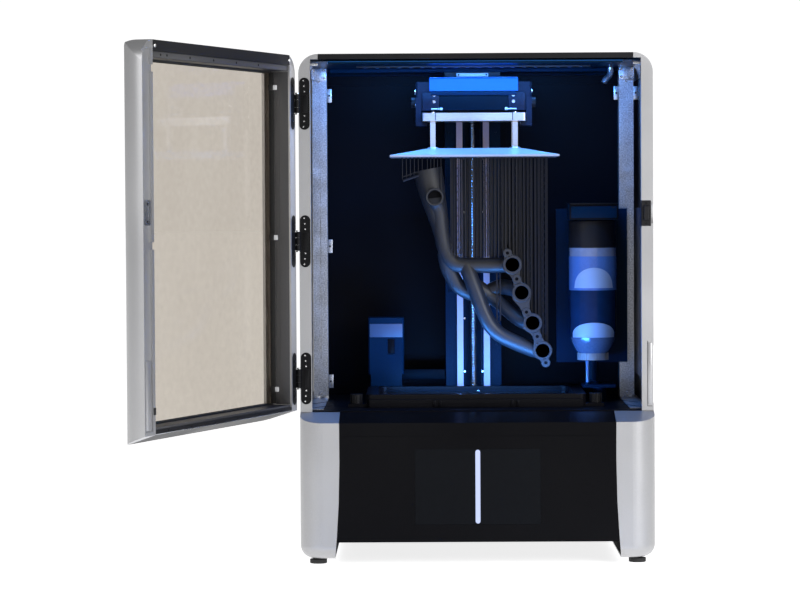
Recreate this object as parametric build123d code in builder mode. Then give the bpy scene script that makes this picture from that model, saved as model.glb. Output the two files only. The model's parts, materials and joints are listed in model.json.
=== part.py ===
from build123d import *
import math
import os

# Desktop resin printer: a wide base with the optics and electronics, a tall chamber
# with a lead screw drive, a build platform over a resin vat, and a framed glass door
# that stands open.  Millimetres.  X runs to the right, Y to the back, Z up.
# The origin is on the standing plane, under the middle of the chamber's front plane.

os.makedirs("parts", exist_ok=True)

# ---- driving dimensions -------------------------------------------------------------
HALF_W = 300.0           # half the width of the body
BACK_Y = 570.0           # outside of the rear cover
TOP_Z = 862.0            # top of the chamber
SKIN = 3.0               # sheet thickness of the outer covers
LEDGE_Z = 254.5          # top of the base at the chamber's front plane
LEDGE_FRONT_Z = 239.6    # top of the base at its front face
BASE_FRONT_Y = -58.0     # front face of the base
LEG_BOTTOM_Z = 9.5       # underside of the side covers
LEG_INNER_X = 231.0      # inner edge of a side cover before its edge is trimmed
# the trimmed inner edge of a side cover, as (x, z) from the ledge down
LEG_EDGE = ((233.0, 256.0), (232.7, 175.0), (234.3, 105.0), (237.6, 48.0), (241.0, 9.0))
FASCIA_BOTTOM_Z = 38.5
BASE_CORNER_R = 40.0     # rounded vertical corner of the base
TOP_CORNER_R = 33.0      # rounded top corner of the chamber
FRAME_W = 20.0           # width of the front frame's upright faces
DECK_TOP_Z = 256.0
DECK_T = 4.0
CHASSIS_FLOOR_Z = 42.0
FOOT_X = 270.0
FOOT_YS = (-20.0, 530.0)
VAT_Y = 200.0            # centre of the vat, screen and platform, from the front plane
SCREW_Y = 346.0          # lead screw axis
COLUMN_FRONT_Y = 332.0
REAR_WALL_Y = 440.0
FAN_X = 150.0
FAN_Z = 750.0

# door, described closed, then swung open about the hinge pins
PIN_X = -302.0
PIN_Y = -3.0
DOOR_OPEN_DEG = 110.0
DOOR_BACK_Y = -6.0
DOOR_FRONT_Y = -52.0
DOOR_TOP_Z = 859.0
DOOR_LOW_BACK_Z = 258.3
DOOR_LOW_FRONT_Z = 242.3
DOOR_RAIL_W = 38.0
DOOR_EDGE_R = 24.0       # rounding of the door's top front edge
DOOR_FREE_R = 44.0       # rounding of the free rail's front corner
DOOR_HINGE_R = 38.0      # rounding of the hinge rail's front corner
HINGE_ZS = (312.0, 545.0, 778.0)
LEAF_W = 17.5
LEAF_H = 88.0
LEAF_T = 3.0
KNUCKLE_R = 5.0
PIN_R = 2.5
POCKET_H = 19.5          # half height of the pocket around a hinge's knuckles
RUN_FIT = 0.05           # radial clearance of a running fit

# platform and carriage, at the top of their travel
PLATE_X = 294.0
PLATE_Y = 168.0
PLATE_BOTTOM_Z = 689.0
BRIDGE_Z = 752.0
BRIDGE_T = 14.0
ARM_W = 203.0
ARM_Z = 771.0
ARM_H = 50.0

DOOR_AXIS = Axis((PIN_X, PIN_Y, 0), (0, 0, 1))


def save(piece, label):
    """Label a finished sub-part and write it as a STEP file."""
    piece.part.label = label
    export_step(piece.part, f"parts/{label}.step")


def save_on_door(piece, label):
    """Swing a sub-part of the closed door to the open rest position, then write it."""
    opened = piece.part.rotate(DOOR_AXIS, -DOOR_OPEN_DEG)
    opened.label = label
    export_step(opened, f"parts/{label}.step")


def block(x0, x1, y0, y1, z0, z1, mode=Mode.ADD):
    """A box between two corners, added to or cut from the sub-part being built."""
    with Locations(((x0 + x1) / 2, (y0 + y1) / 2, (z0 + z1) / 2)):
        Box(x1 - x0, y1 - y0, z1 - z0, mode=mode)


def post(x, y, radius, z0, z1, mode=Mode.ADD):
    """An upright cylinder, added to or cut from the sub-part being built."""
    with Locations((x, y, (z0 + z1) / 2)):
        Cylinder(radius, z1 - z0, mode=mode)


# ---- base ---------------------------------------------------------------------------
CHASSIS_X = 262.0
CHASSIS_Y0 = -2.0
CHASSIS_Y1 = 556.0
CHASSIS_WALL = 3.0
INSERT_R = 10.0
INLET_X = -180.0
INLET_Z = 110.0
STEM_R = 5.0

with BuildPart() as base_chassis:
    with BuildSketch(Plane.XY.offset(CHASSIS_FLOOR_Z)):
        with Locations((0, (CHASSIS_Y1 - 40) / 2)):
            RectangleRounded(2 * 285, CHASSIS_Y1 + 36, 20)
    extrude(amount=4)
    with BuildSketch(Plane.XY.offset(CHASSIS_FLOOR_Z + 4)):
        with Locations((0, (CHASSIS_Y0 + CHASSIS_Y1) / 2)):
            Rectangle(2 * CHASSIS_X, CHASSIS_Y1 - CHASSIS_Y0)
            Rectangle(
                2 * (CHASSIS_X - CHASSIS_WALL),
                CHASSIS_Y1 - CHASSIS_Y0 - 2 * CHASSIS_WALL,
                mode=Mode.SUBTRACT,
            )
    extrude(amount=DECK_TOP_Z - DECK_T - CHASSIS_FLOOR_Z - 4)
    # clearance under the ledge, and windows behind the touchscreen and the mains inlet
    block(-CHASSIS_X, CHASSIS_X, CHASSIS_Y0 - 1, 1, 250.4, 253, mode=Mode.SUBTRACT)
    block(-112, 112, CHASSIS_Y0 - 1, CHASSIS_Y0 + 4, 66, 205, mode=Mode.SUBTRACT)
    block(INLET_X - 16, INLET_X + 16, CHASSIS_Y1 - 4, CHASSIS_Y1 + 1, INLET_Z - 27,
          INLET_Z + 27, mode=Mode.SUBTRACT)
    for foot_y in FOOT_YS:
        for side in (-1, 1):
            post(side * FOOT_X, foot_y, INSERT_R, CHASSIS_FLOOR_Z + 2, 60)
            post(side * FOOT_X, foot_y, STEM_R + RUN_FIT, 20, 64, mode=Mode.SUBTRACT)
save(base_chassis, "base_chassis")

for side, label in ((-1, "base_side_left"), (1, "base_side_right")):
    with BuildPart() as base_side:
        with BuildSketch(Plane.XZ.offset(-BASE_FRONT_Y)):
            Polygon(
                (side * LEG_INNER_X, LEDGE_Z),
                (side * HALF_W, LEDGE_Z),
                (side * HALF_W, LEG_BOTTOM_Z),
                (side * LEG_INNER_X, LEG_BOTTOM_Z),
                align=None,
            )
        extrude(amount=-(BACK_Y - BASE_FRONT_Y))
        front_corner = base_side.edges().filter_by(Axis.Z).sort_by(Axis.Y)[0]
        fillet(front_corner, radius=BASE_CORNER_R)
        under = base_side.faces().sort_by(Axis.Z)[0]
        rim = under.edges().filter_by(
            lambda e: abs(e.center().X) > LEG_INNER_X + 1 and e.center().Y < BACK_Y - 1
        )
        fillet(rim, radius=21)
        # the ledge falls towards the front
        with BuildSketch(Plane.YZ):
            Polygon(
                (BASE_FRONT_Y, LEDGE_FRONT_Z),
                (0, LEDGE_Z),
                (0, LEDGE_Z + 20),
                (BASE_FRONT_Y - 2, LEDGE_Z + 20),
                (BASE_FRONT_Y - 2, LEDGE_FRONT_Z - 0.5),
                align=None,
            )
        extrude(amount=side * HALF_W, mode=Mode.SUBTRACT)
        inner_face = base_side.faces().sort_by(Axis.X)[0 if side > 0 else -1]
        rear_face = base_side.faces().sort_by(Axis.Y)[-1]
        offset(amount=-SKIN, openings=[inner_face, rear_face])
        # room for the deck behind the chamber's front plane
        x_in, x_out = sorted((side * (LEG_INNER_X - 4), side * 289))
        block(x_in, x_out, 0, BACK_Y + 1, LEDGE_Z - 8, LEDGE_Z + 1, mode=Mode.SUBTRACT)
        for foot_y in FOOT_YS:
            post(side * FOOT_X, foot_y, 11, 5, 22, mode=Mode.SUBTRACT)
        with BuildSketch(Plane.XZ.offset(-BASE_FRONT_Y + 1)):
            trim = [(side * 215, 5), (side * 215, 262)]
            trim += [(side * LEG_EDGE[0][0], 262)]
            trim += [(side * x, z) for x, z in LEG_EDGE]
            trim += [(side * LEG_EDGE[-1][0], 5)]
            Polygon(*trim, align=None)
        extrude(amount=-(BACK_Y - BASE_FRONT_Y + 2), mode=Mode.SUBTRACT)
    save(base_side, label)

BAND_X = 232.2
BAND_BOTTOM_Z = 217.4
with BuildPart() as front_band:
    with BuildSketch(Plane.YZ.offset(-BAND_X)):
        Polygon(
            (BASE_FRONT_Y, BAND_BOTTOM_Z),
            (BASE_FRONT_Y, LEDGE_FRONT_Z),
            (0, LEDGE_Z),
            (0, LEDGE_Z - 3),
            (BASE_FRONT_Y + 3, LEDGE_FRONT_Z - 2.5),
            (BASE_FRONT_Y + 3, BAND_BOTTOM_Z),
            align=None,
        )
    extrude(amount=2 * BAND_X)
save(front_band, "front_band")

SCREEN_W = 211.0
SCREEN_H = 127.0
SCREEN_Z = 131.8
BAR_W = 8.0
BAR_H = 124.0
FASCIA_FRONT_Y = BASE_FRONT_Y + 0.5
with BuildPart() as front_fascia:
    with BuildSketch(Plane.XZ.offset(-FASCIA_FRONT_Y)):
        edge = [(232.2, BAND_BOTTOM_Z - 0.3)]
        edge += [(x - 0.6, z) for x, z in LEG_EDGE[1:-1]]
        edge += [(237.5, FASCIA_BOTTOM_Z)]
        Polygon(*edge, *[(-x, z) for x, z in reversed(edge)], align=None)
        with Locations((0, SCREEN_Z)):
            Rectangle(SCREEN_W + 0.6, SCREEN_H + 0.6, mode=Mode.SUBTRACT)
    extrude(amount=-4)
    for side in (-1, 1):
        block(side * 180 - 8, side * 180 + 8, FASCIA_FRONT_Y + 4, CHASSIS_Y0, 60, 210)
save(front_fascia, "front_fascia")

with BuildPart() as touchscreen:
    with BuildSketch(Plane.XZ.offset(-FASCIA_FRONT_Y)):
        with Locations((0, SCREEN_Z)):
            Rectangle(SCREEN_W, SCREEN_H)
            SlotOverall(BAR_H + 0.4, BAR_W + 0.4, rotation=90, mode=Mode.SUBTRACT)
    extrude(amount=-6)
    block(-95, 95, FASCIA_FRONT_Y + 6, FASCIA_FRONT_Y + 24, SCREEN_Z - 55, SCREEN_Z + 55)
save(touchscreen, "touchscreen")

with BuildPart() as status_light_bar:
    with BuildSketch(Plane.XZ.offset(-FASCIA_FRONT_Y)):
        with Locations((0, SCREEN_Z)):
            SlotOverall(BAR_H, BAR_W, rotation=90)
    extrude(amount=-6)
save(status_light_bar, "status_light_bar")

for foot_y, row in zip(FOOT_YS, ("front", "rear")):
    for side, hand in ((-1, "left"), (1, "right")):
        with BuildPart() as foot:
            post(side * FOOT_X, foot_y, 14.5, 0, 7)
            post(side * FOOT_X, foot_y, 8, 7, 12)
            post(side * FOOT_X, foot_y, STEM_R, 12, 60)
            fillet(foot.edges().filter_by(GeomType.CIRCLE).sort_by(Axis.Z)[0], 1.5)
        save(foot, f"foot_{row}_{hand}")

# ---- deck, exposure screen and what stands under the deck ----------------------------
SCREEN_OPENING = (300.0, 175.0)
MASK_SIZE = (320.0, 195.0)
MASK_TOP_Z = 259.8
SCREW_R = 6.0
with BuildPart() as deck_plate:
    with BuildSketch(Plane.XY.offset(DECK_TOP_Z - DECK_T)):
        with Locations((0, (0.4 + BACK_Y - 10) / 2)):
            Rectangle(2 * 288, BACK_Y - 10.4)
        with Locations((0, VAT_Y)):
            Rectangle(*SCREEN_OPENING, mode=Mode.SUBTRACT)
        with Locations((0, SCREW_Y)):
            Circle(15, mode=Mode.SUBTRACT)
    extrude(amount=DECK_T)
    for side in (-1, 1):
        x_in, x_out = sorted((side * 279.6, side * 290))
        block(x_in, x_out, 0, 20.4, DECK_TOP_Z - 5, DECK_TOP_Z + 1, mode=Mode.SUBTRACT)
save(deck_plate, "deck_plate")

with BuildPart() as mask_screen:
    with BuildSketch(Plane.XY.offset(DECK_TOP_Z)):
        with Locations((0, VAT_Y)):
            RectangleRounded(*MASK_SIZE, 6)
    extrude(amount=MASK_TOP_Z - DECK_TOP_Z)
save(mask_screen, "mask_screen")

with BuildPart() as light_engine:
    block(-158, 158, 104, 296, 247, DECK_TOP_Z - DECK_T)
    block(-138, 138, 114, 286, 116, 247)
    block(-140, 140, 112.5, 287.5, DECK_TOP_Z - DECK_T, DECK_TOP_Z - 0.5)
    chamfer(light_engine.edges().filter_by(Axis.X).group_by(Axis.Z)[0], 12)
    # light tunnel, open towards the screen
    block(-130, 130, 122, 278, 130, DECK_TOP_Z, mode=Mode.SUBTRACT)
    with BuildSketch(Plane.XY.offset(76)):
        with Locations((0, VAT_Y)):
            with GridLocations(16, 1, 15, 1):
                Rectangle(4, 140)
    extrude(amount=41)
save(light_engine, "light_engine")

with BuildPart() as power_supply:
    block(-240, -125, 320, 535, 52, 102)
    for x in (-230, -135):
        for y in (330, 525):
            post(x, y, 4, CHASSIS_FLOOR_Z + 4, 52)
    with BuildSketch(Plane.XY.offset(102)):
        with Locations((-182.5, 428)):
            with GridLocations(12, 22, 7, 7):
                SlotOverall(14, 4, rotation=90)
    extrude(amount=-2, mode=Mode.SUBTRACT)
save(power_supply, "power_supply")

BOARD_Z = 56.0
BOARD_TOP_Z = BOARD_Z + 1.6
with BuildPart() as control_board:
    block(70, 240, 340, 510, BOARD_Z, BOARD_TOP_Z)
    for x in (76, 234):
        for y in (346, 504):
            post(x, y, 3.5, CHASSIS_FLOOR_Z + 4, BOARD_Z)
    block(120, 150, 400, 430, BOARD_TOP_Z, BOARD_TOP_Z + 4)
    block(175, 205, 380, 410, BOARD_TOP_Z, BOARD_TOP_Z + 18)
    for x in (84, 108, 132):
        block(x, x + 16, 490, 506, BOARD_TOP_Z, BOARD_TOP_Z + 10)
save(control_board, "control_board")

MOTOR_TOP_Z = 196.0
SHAFT_R = 3.175
with BuildPart() as z_motor:
    with BuildSketch(Plane.XY.offset(120)):
        with Locations((0, SCREW_Y)):
            RectangleRounded(57, 57, 6)
    extrude(amount=MOTOR_TOP_Z - 120)
    post(0, SCREW_Y, 19, MOTOR_TOP_Z, MOTOR_TOP_Z + 2)
    for x in (-23.57, 23.57):
        for y in (SCREW_Y - 23.57, SCREW_Y + 23.57):
            post(x, y, 4, MOTOR_TOP_Z, DECK_TOP_Z - DECK_T)
    post(0, SCREW_Y, SHAFT_R + RUN_FIT, 170, MOTOR_TOP_Z + 3, mode=Mode.SUBTRACT)
save(z_motor, "z_motor")

# ---- chamber ------------------------------------------------------------------------
COVER_X = HALF_W - TOP_CORNER_R - 0.5
LATCH_Z0 = 568.0
LATCH_Z1 = 611.0
LEAF_X = PIN_X + 12.0
PANEL_Z0 = LEDGE_Z + 0.2


def chamber_outline(side, inset):
    """Outer line of a side wall seen from the front, moved inwards by inset."""
    outer = HALF_W - inset
    top = TOP_Z - inset
    radius = TOP_CORNER_R - inset
    return [
        (side * outer, PANEL_Z0),
        (side * outer, TOP_Z - TOP_CORNER_R),
        (side * (outer - radius + radius * math.sin(math.pi / 4)),
         TOP_Z - TOP_CORNER_R + radius * math.sin(math.pi / 4)),
        (side * (HALF_W - TOP_CORNER_R), top),
    ]


for side, label in ((-1, "side_panel_left"), (1, "side_panel_right")):
    with BuildPart() as side_panel:
        outer = chamber_outline(side, 0)
        inner = chamber_outline(side, SKIN)
        with BuildSketch(Plane.XZ):
            with BuildLine():
                Line(outer[0], outer[1])
                ThreePointArc(outer[1], outer[2], outer[3])
                Line(outer[3], inner[3])
                ThreePointArc(inner[3], inner[2], inner[1])
                Line(inner[1], inner[0])
                Line(inner[0], outer[0])
            make_face()
        extrude(amount=-(BACK_Y - SKIN - 0.3))
        # front frame: an upright with a corner that meets the top cover
        with BuildSketch(Plane.XZ):
            with BuildLine():
                Line(outer[0], outer[1])
                ThreePointArc(outer[1], outer[2], outer[3])
                Line(outer[3], (outer[3][0], TOP_Z - 9))
                Line((outer[3][0], TOP_Z - 9), (side * (HALF_W - FRAME_W), TOP_Z - 9))
                Line((side * (HALF_W - FRAME_W), TOP_Z - 9), (side * (HALF_W - FRAME_W), PANEL_Z0))
                Line((side * (HALF_W - FRAME_W), PANEL_Z0), outer[0])
            make_face()
        extrude(amount=-FRAME_W)
        if side < 0:
            for z in HINGE_ZS:
                with BuildSketch(Plane.XZ):
                    with Locations((LEAF_X, z)):
                        SlotOverall(LEAF_H + 0.4, LEAF_W + 0.4, rotation=90)
                extrude(amount=-LEAF_T, mode=Mode.SUBTRACT)
                block(PIN_X - 6, PIN_X + 6, -1, 3.2, z - POCKET_H, z + POCKET_H, mode=Mode.SUBTRACT)
        else:
            block(279, 296.3, -1, 21, LATCH_Z0 - 0.3, LATCH_Z1 + 0.3, mode=Mode.SUBTRACT)
            # finger scallop in the outer edge beside the latch
            with BuildSketch(Plane.YZ.offset(HALF_W + 1)):
                with Locations((0, (LATCH_Z0 + LATCH_Z1) / 2)):
                    Ellipse(9, 17)
            extrude(amount=-4.4, mode=Mode.SUBTRACT)
            # recess for the lower side hatch, open at the front edge
            block(292, 301, -1, 3, 267, 365, mode=Mode.SUBTRACT)
            block(HALF_W - 1, 301, -1, 60, 267, 365, mode=Mode.SUBTRACT)
    save(side_panel, label)

with BuildPart() as top_cover:
    block(-COVER_X, COVER_X, 0, BACK_Y - SKIN - 0.3, TOP_Z - SKIN, TOP_Z)
    block(-COVER_X, COVER_X, 0, 12, TOP_Z - 9, TOP_Z - SKIN)
    block(-COVER_X, COVER_X, BACK_Y - 18, BACK_Y - SKIN - 0.3, TOP_Z - 12, TOP_Z - SKIN)
    for y in (150, 300):
        block(-COVER_X + 4, COVER_X - 4, y, y + 14, TOP_Z - 11, TOP_Z - SKIN)
save(top_cover, "top_cover")

with BuildPart() as rear_wall:
    block(-288.5, 288.5, REAR_WALL_Y, REAR_WALL_Y + 3, DECK_TOP_Z, TOP_Z - 36)
    block(-258, 258, REAR_WALL_Y, REAR_WALL_Y + 3, TOP_Z - 36, TOP_Z - 3.2)
    for side in (-1, 1):
        block(side * 150 - 60, side * 150 + 60, REAR_WALL_Y + 3, REAR_WALL_Y + 15, 300, 312)
save(rear_wall, "rear_wall")

INLET_W = 28.0
INLET_H = 50.0
FAN_R = 57.0
with BuildPart() as rear_cover:
    with BuildSketch(Plane.XZ.offset(-(BACK_Y - SKIN))):
        with Locations((0, (44 + TOP_Z - 14) / 2)):
            RectangleRounded(2 * 288, TOP_Z - 58, 20)
        with Locations((INLET_X, INLET_Z)):
            Rectangle(INLET_W + 0.4, INLET_H + 0.4, mode=Mode.SUBTRACT)
        with Locations((FAN_X, FAN_Z)):
            with PolarLocations(20, 8):
                SlotOverall(12, 5, rotation=90, mode=Mode.SUBTRACT)
            with PolarLocations(34, 14):
                SlotOverall(12, 5, rotation=90, mode=Mode.SUBTRACT)
            with PolarLocations(48, 20):
                SlotOverall(12, 5, rotation=90, mode=Mode.SUBTRACT)
        with Locations((-120, FAN_Z)):
            with GridLocations(0, 12, 1, 9):
                SlotOverall(160, 4, mode=Mode.SUBTRACT)
        with Locations((0, 140)):
            with GridLocations(0, 12, 1, 7):
                SlotOverall(200, 4, mode=Mode.SUBTRACT)
    extrude(amount=-SKIN)
    for side in (-1, 1):
        block(side * 270 - 8, side * 270 + 8, BACK_Y - 12, BACK_Y - SKIN, 262, 820)
save(rear_cover, "rear_cover")

POST_Y = 300.0
with BuildPart() as chamber_posts:
    for side in (-1, 1):
        x0, x1 = sorted((side * 262, side * 288))
        block(x0, x1, POST_Y, POST_Y + 30, DECK_TOP_Z, TOP_Z - 34)
        mid = (x0 + x1) / 2
        block(mid - 1, mid + 1, POST_Y, POST_Y + 1.5, 330, 805, mode=Mode.SUBTRACT)
save(chamber_posts, "chamber_posts")

# ---- vertical drive, fixed pieces ----------------------------------------------------
COLUMN_TOP_Z = 838.0
CHANNEL_X = 14.0
RAIL_X = 24.0
RAIL_W = 11.0
RAIL_T = 8.0
with BuildPart() as z_column:
    with BuildSketch(Plane.XY.offset(DECK_TOP_Z)):
        Polygon(
            (-50, COLUMN_FRONT_Y),
            (-CHANNEL_X, COLUMN_FRONT_Y),
            (-CHANNEL_X, SCREW_Y + 16),
            (CHANNEL_X, SCREW_Y + 16),
            (CHANNEL_X, COLUMN_FRONT_Y),
            (50, COLUMN_FRONT_Y),
            (50, COLUMN_FRONT_Y + 54),
            (-50, COLUMN_FRONT_Y + 54),
            align=None,
        )
    extrude(amount=COLUMN_TOP_Z - DECK_TOP_Z)
    block(-46, 46, COLUMN_FRONT_Y + 54, REAR_WALL_Y, 300, 330)
    block(-46, 46, COLUMN_FRONT_Y + 54, REAR_WALL_Y, 790, 820)
save(z_column, "z_column")

RAIL_TOP_Z = 830.0
with BuildPart() as linear_rails:
    for side in (-1, 1):
        with BuildSketch(Plane.XY.offset(DECK_TOP_Z + 6)):
            with Locations((side * RAIL_X, COLUMN_FRONT_Y - RAIL_T / 2)):
                Rectangle(RAIL_W, RAIL_T)
        extrude(amount=RAIL_TOP_Z - DECK_TOP_Z - 6)
    with BuildSketch(Plane.XY.offset(DECK_TOP_Z + 6)):
        for side in (-1, 1):
            for edge in (-1, 1):
                with Locations((side * RAIL_X + edge * RAIL_W / 2, COLUMN_FRONT_Y - RAIL_T / 2)):
                    Rectangle(2.4, 3, mode=Mode.ADD)
    extrude(amount=RAIL_TOP_Z - DECK_TOP_Z - 6, mode=Mode.SUBTRACT)
save(linear_rails, "linear_rails")

with BuildPart() as top_bracket:
    block(-42, 42, COLUMN_FRONT_Y - 6, COLUMN_FRONT_Y + 50, COLUMN_TOP_Z, COLUMN_TOP_Z + 8)
    for side in (-1, 1):
        block(side * 42 - 8, side * 42 + 8, COLUMN_FRONT_Y - 6, COLUMN_FRONT_Y + 20,
              COLUMN_TOP_Z, COLUMN_TOP_Z + 13)
    post(0, SCREW_Y, 12, COLUMN_TOP_Z - 10, COLUMN_TOP_Z)
    post(0, SCREW_Y, SCREW_R + RUN_FIT, COLUMN_TOP_Z - 12, COLUMN_TOP_Z + 9,
         mode=Mode.SUBTRACT)
save(top_bracket, "top_bracket")

# ---- level sensor, resin supply, latch, mains inlet, exhaust fan ----------------------
SENSOR_X = -158.0
SENSOR_W = 64.0
SENSOR_Y = 322.0
with BuildPart() as level_sensor:
    block(SENSOR_X - SENSOR_W / 2, SENSOR_X + SENSOR_W / 2, SENSOR_Y, SENSOR_Y + 50, 300, 402)
    block(SENSOR_X - 28, SENSOR_X + 28, SENSOR_Y + 4, SENSOR_Y + 46, DECK_TOP_Z, 300)
    chamfer(level_sensor.edges().filter_by(Axis.Z).group_by(Axis.Z)[-1], 2)
    block(SENSOR_X + 3, SENSOR_X + 16, SENSOR_Y - 1, SENSOR_Y + 3, 336, 364,
          mode=Mode.SUBTRACT)
save(level_sensor, "level_sensor")

BOTTLE_X = 210.6
BOTTLE_Y = 240.0
BOTTLE_R = 42.0
BOTTLE_TOP_Z = 576.4
CAP_Z = 329.0
CAP_H = 12.0
with BuildPart() as bottle_holder:
    block(148, 275, 288, 292, 322, 597)
    block(BOTTLE_X - 43, BOTTLE_X + 43, 197, 288, BOTTLE_TOP_Z + 0.8, 606)
    for z in (330, 560):
        block(205, 225, 292, REAR_WALL_Y, z, z + 12)
save(bottle_holder, "bottle_holder")

with BuildPart() as dispenser_base:
    post(BOTTLE_X + 12, BOTTLE_Y, 12, DECK_TOP_Z, 281)
    block(191.5, 249, 206, 274, 281, 286)
    post(BOTTLE_X, BOTTLE_Y, 7, 286, CAP_Z - 0.5)
    post(BOTTLE_X, BOTTLE_Y, 11, 286, 292)
    post(200, 222, 4.5, 286, 290)
    post(200, 222, 3, 284, 291, mode=Mode.SUBTRACT)
save(dispenser_base, "dispenser_base")

with BuildPart() as feed_tube:
    post(200, 222, 3, 286, CAP_Z - 1)
    post(200, 222, 2, 285, CAP_Z, mode=Mode.SUBTRACT)
save(feed_tube, "feed_tube")

LATCH_X = 288.4
with BuildPart() as latch_housing:
    block(280.3, 296, 0.5, 20, LATCH_Z0, LATCH_Z1)
    block(LATCH_X - 4.7, LATCH_X + 4.7, -1, 18, 577.8, 602.2, mode=Mode.SUBTRACT)
save(latch_housing, "latch_housing")

with BuildPart() as latch_plunger:
    block(LATCH_X - 4.5, LATCH_X + 4.5, -5.2, 12, 578, 602)
    nose = latch_plunger.faces().sort_by(Axis.Y)[0].edges()
    fillet(nose, 1.5)
save(latch_plunger, "latch_plunger")

ROCKER_Z = INLET_Z + 13
ROCKER_Y = BACK_Y - 0.5
SOCKET_Z = INLET_Z - 12
with BuildPart() as power_inlet:
    block(INLET_X - 14, INLET_X + 14, BACK_Y - 28, BACK_Y, INLET_Z - 25, INLET_Z + 25)
    block(INLET_X - 17, INLET_X + 17, BACK_Y, BACK_Y + 2.5, INLET_Z - 28, INLET_Z + 28)
    block(INLET_X - 12, INLET_X + 12, BACK_Y - 16, BACK_Y + 4, SOCKET_Z - 8.5,
          SOCKET_Z + 8.5, mode=Mode.SUBTRACT)
    block(INLET_X - 9, INLET_X + 9, ROCKER_Y - 7, BACK_Y + 4, ROCKER_Z - 10.5,
          ROCKER_Z + 10.5, mode=Mode.SUBTRACT)
    with Locations(Location((INLET_X, ROCKER_Y, ROCKER_Z), (0, 90, 0))):
        Cylinder(2.2, 21, mode=Mode.SUBTRACT)
save(power_inlet, "power_inlet")

ROCKER_TILT = 8.0
ROCKER_AXIS = Axis((INLET_X, ROCKER_Y, ROCKER_Z), (1, 0, 0))
with BuildPart() as power_rocker:
    block(INLET_X - 8.6, INLET_X + 8.6, ROCKER_Y - 4, ROCKER_Y + 4, ROCKER_Z - 9,
          ROCKER_Z + 9)
    fillet(power_rocker.edges().filter_by(Axis.X), 1)
    add(power_rocker.part.rotate(ROCKER_AXIS, ROCKER_TILT), mode=Mode.REPLACE)
    with Locations(Location((INLET_X, ROCKER_Y, ROCKER_Z), (0, 90, 0))):
        Cylinder(2, 20)
save(power_rocker, "power_rocker")

FAN_Y = 540.0
FAN_SHAFT_R = 2.0
FAN_HUB_R = 20.0
FAN_BLADES = 7
with BuildPart() as exhaust_fan_frame:
    with BuildSketch(Plane.XZ.offset(-FAN_Y)):
        with Locations((FAN_X, FAN_Z)):
            RectangleRounded(120, 120, 8)
            Circle(FAN_R, mode=Mode.SUBTRACT)
            with GridLocations(105, 105, 2, 2):
                Circle(2.2, mode=Mode.SUBTRACT)
    extrude(amount=-26.5)
    with BuildSketch(Plane.XZ.offset(-FAN_Y)):
        with Locations((FAN_X, FAN_Z)):
            Circle(FAN_HUB_R)
            with PolarLocations(39, 4, 45):
                Rectangle(40, 6)
    extrude(amount=-3)
    with BuildSketch(Plane.XZ.offset(-FAN_Y - 3)):
        with Locations((FAN_X, FAN_Z)):
            Circle(FAN_SHAFT_R)
    extrude(amount=-17)
save(exhaust_fan_frame, "exhaust_fan_frame")

with BuildPart() as fan_rotor:
    with BuildSketch(Plane.XZ.offset(-FAN_Y - 5)):
        with Locations((FAN_X, FAN_Z)):
            Circle(FAN_HUB_R)
    extrude(amount=-19)
    for i in range(FAN_BLADES):
        turn = Rot(0, 360 / FAN_BLADES * i, 0)
        with Locations(Pos(FAN_X, FAN_Y + 14, FAN_Z) * turn * Pos(36.5, 0, 0) * Rot(38, 0, 0)):
            Box(36, 1.8, 19)
    with BuildSketch(Plane.XZ.offset(-FAN_Y - 4)):
        with Locations((FAN_X, FAN_Z)):
            Circle(FAN_SHAFT_R + RUN_FIT)
    extrude(amount=-17, mode=Mode.SUBTRACT)
save(fan_rotor, "fan_rotor")

# ---- hinges -------------------------------------------------------------------------
BODY_KNUCKLE_H = 6.0
KNUCKLE_CLEAR_R = KNUCKLE_R + 0.5
DOOR_KNUCKLE_Z = (6.3, 15.8)
with BuildPart() as body_hinge_leaves:
    for z in HINGE_ZS:
        with BuildSketch(Plane.XZ):
            with Locations((LEAF_X, z)):
                SlotOverall(LEAF_H, LEAF_W, rotation=90)
        extrude(amount=-LEAF_T)
        post(PIN_X, PIN_Y, KNUCKLE_CLEAR_R, z - 17, z + 17, mode=Mode.SUBTRACT)
        block(PIN_X, PIN_X + 6, 0, 2, z - BODY_KNUCKLE_H, z + BODY_KNUCKLE_H)
        post(PIN_X, PIN_Y, KNUCKLE_R, z - BODY_KNUCKLE_H, z + BODY_KNUCKLE_H)
        post(PIN_X, PIN_Y, PIN_R, z - 10, z + 10, mode=Mode.SUBTRACT)
save(body_hinge_leaves, "body_hinge_leaves")

with BuildPart() as hinge_pins:
    for z in HINGE_ZS:
        post(PIN_X, PIN_Y, PIN_R, z - 16.5, z + 16.5)
        for end in (-1, 1):
            z0, z1 = sorted((z + end * 16.5, z + end * 18.5))
            post(PIN_X, PIN_Y, 4, z0, z1)
save(hinge_pins, "hinge_pins")

with BuildPart() as door_hinge_leaves:
    for z in HINGE_ZS:
        with BuildSketch(Plane.XZ.offset(-DOOR_BACK_Y)):
            with Locations((LEAF_X, z)):
                SlotOverall(LEAF_H, LEAF_W, rotation=90)
        extrude(amount=LEAF_T)
        post(PIN_X, PIN_Y, KNUCKLE_CLEAR_R, z - 17, z + 17, mode=Mode.SUBTRACT)
        for end in (-1, 1):
            z0, z1 = sorted((z + end * DOOR_KNUCKLE_Z[0], z + end * DOOR_KNUCKLE_Z[1]))
            block(PIN_X, PIN_X + 6, DOOR_BACK_Y - 2, DOOR_BACK_Y, z0, z1)
            post(PIN_X, PIN_Y, KNUCKLE_R, z0, z1)
            post(PIN_X, PIN_Y, PIN_R + RUN_FIT, z0 - 1, z1 + 1, mode=Mode.SUBTRACT)
save_on_door(door_hinge_leaves, "door_hinge_leaves")

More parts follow.
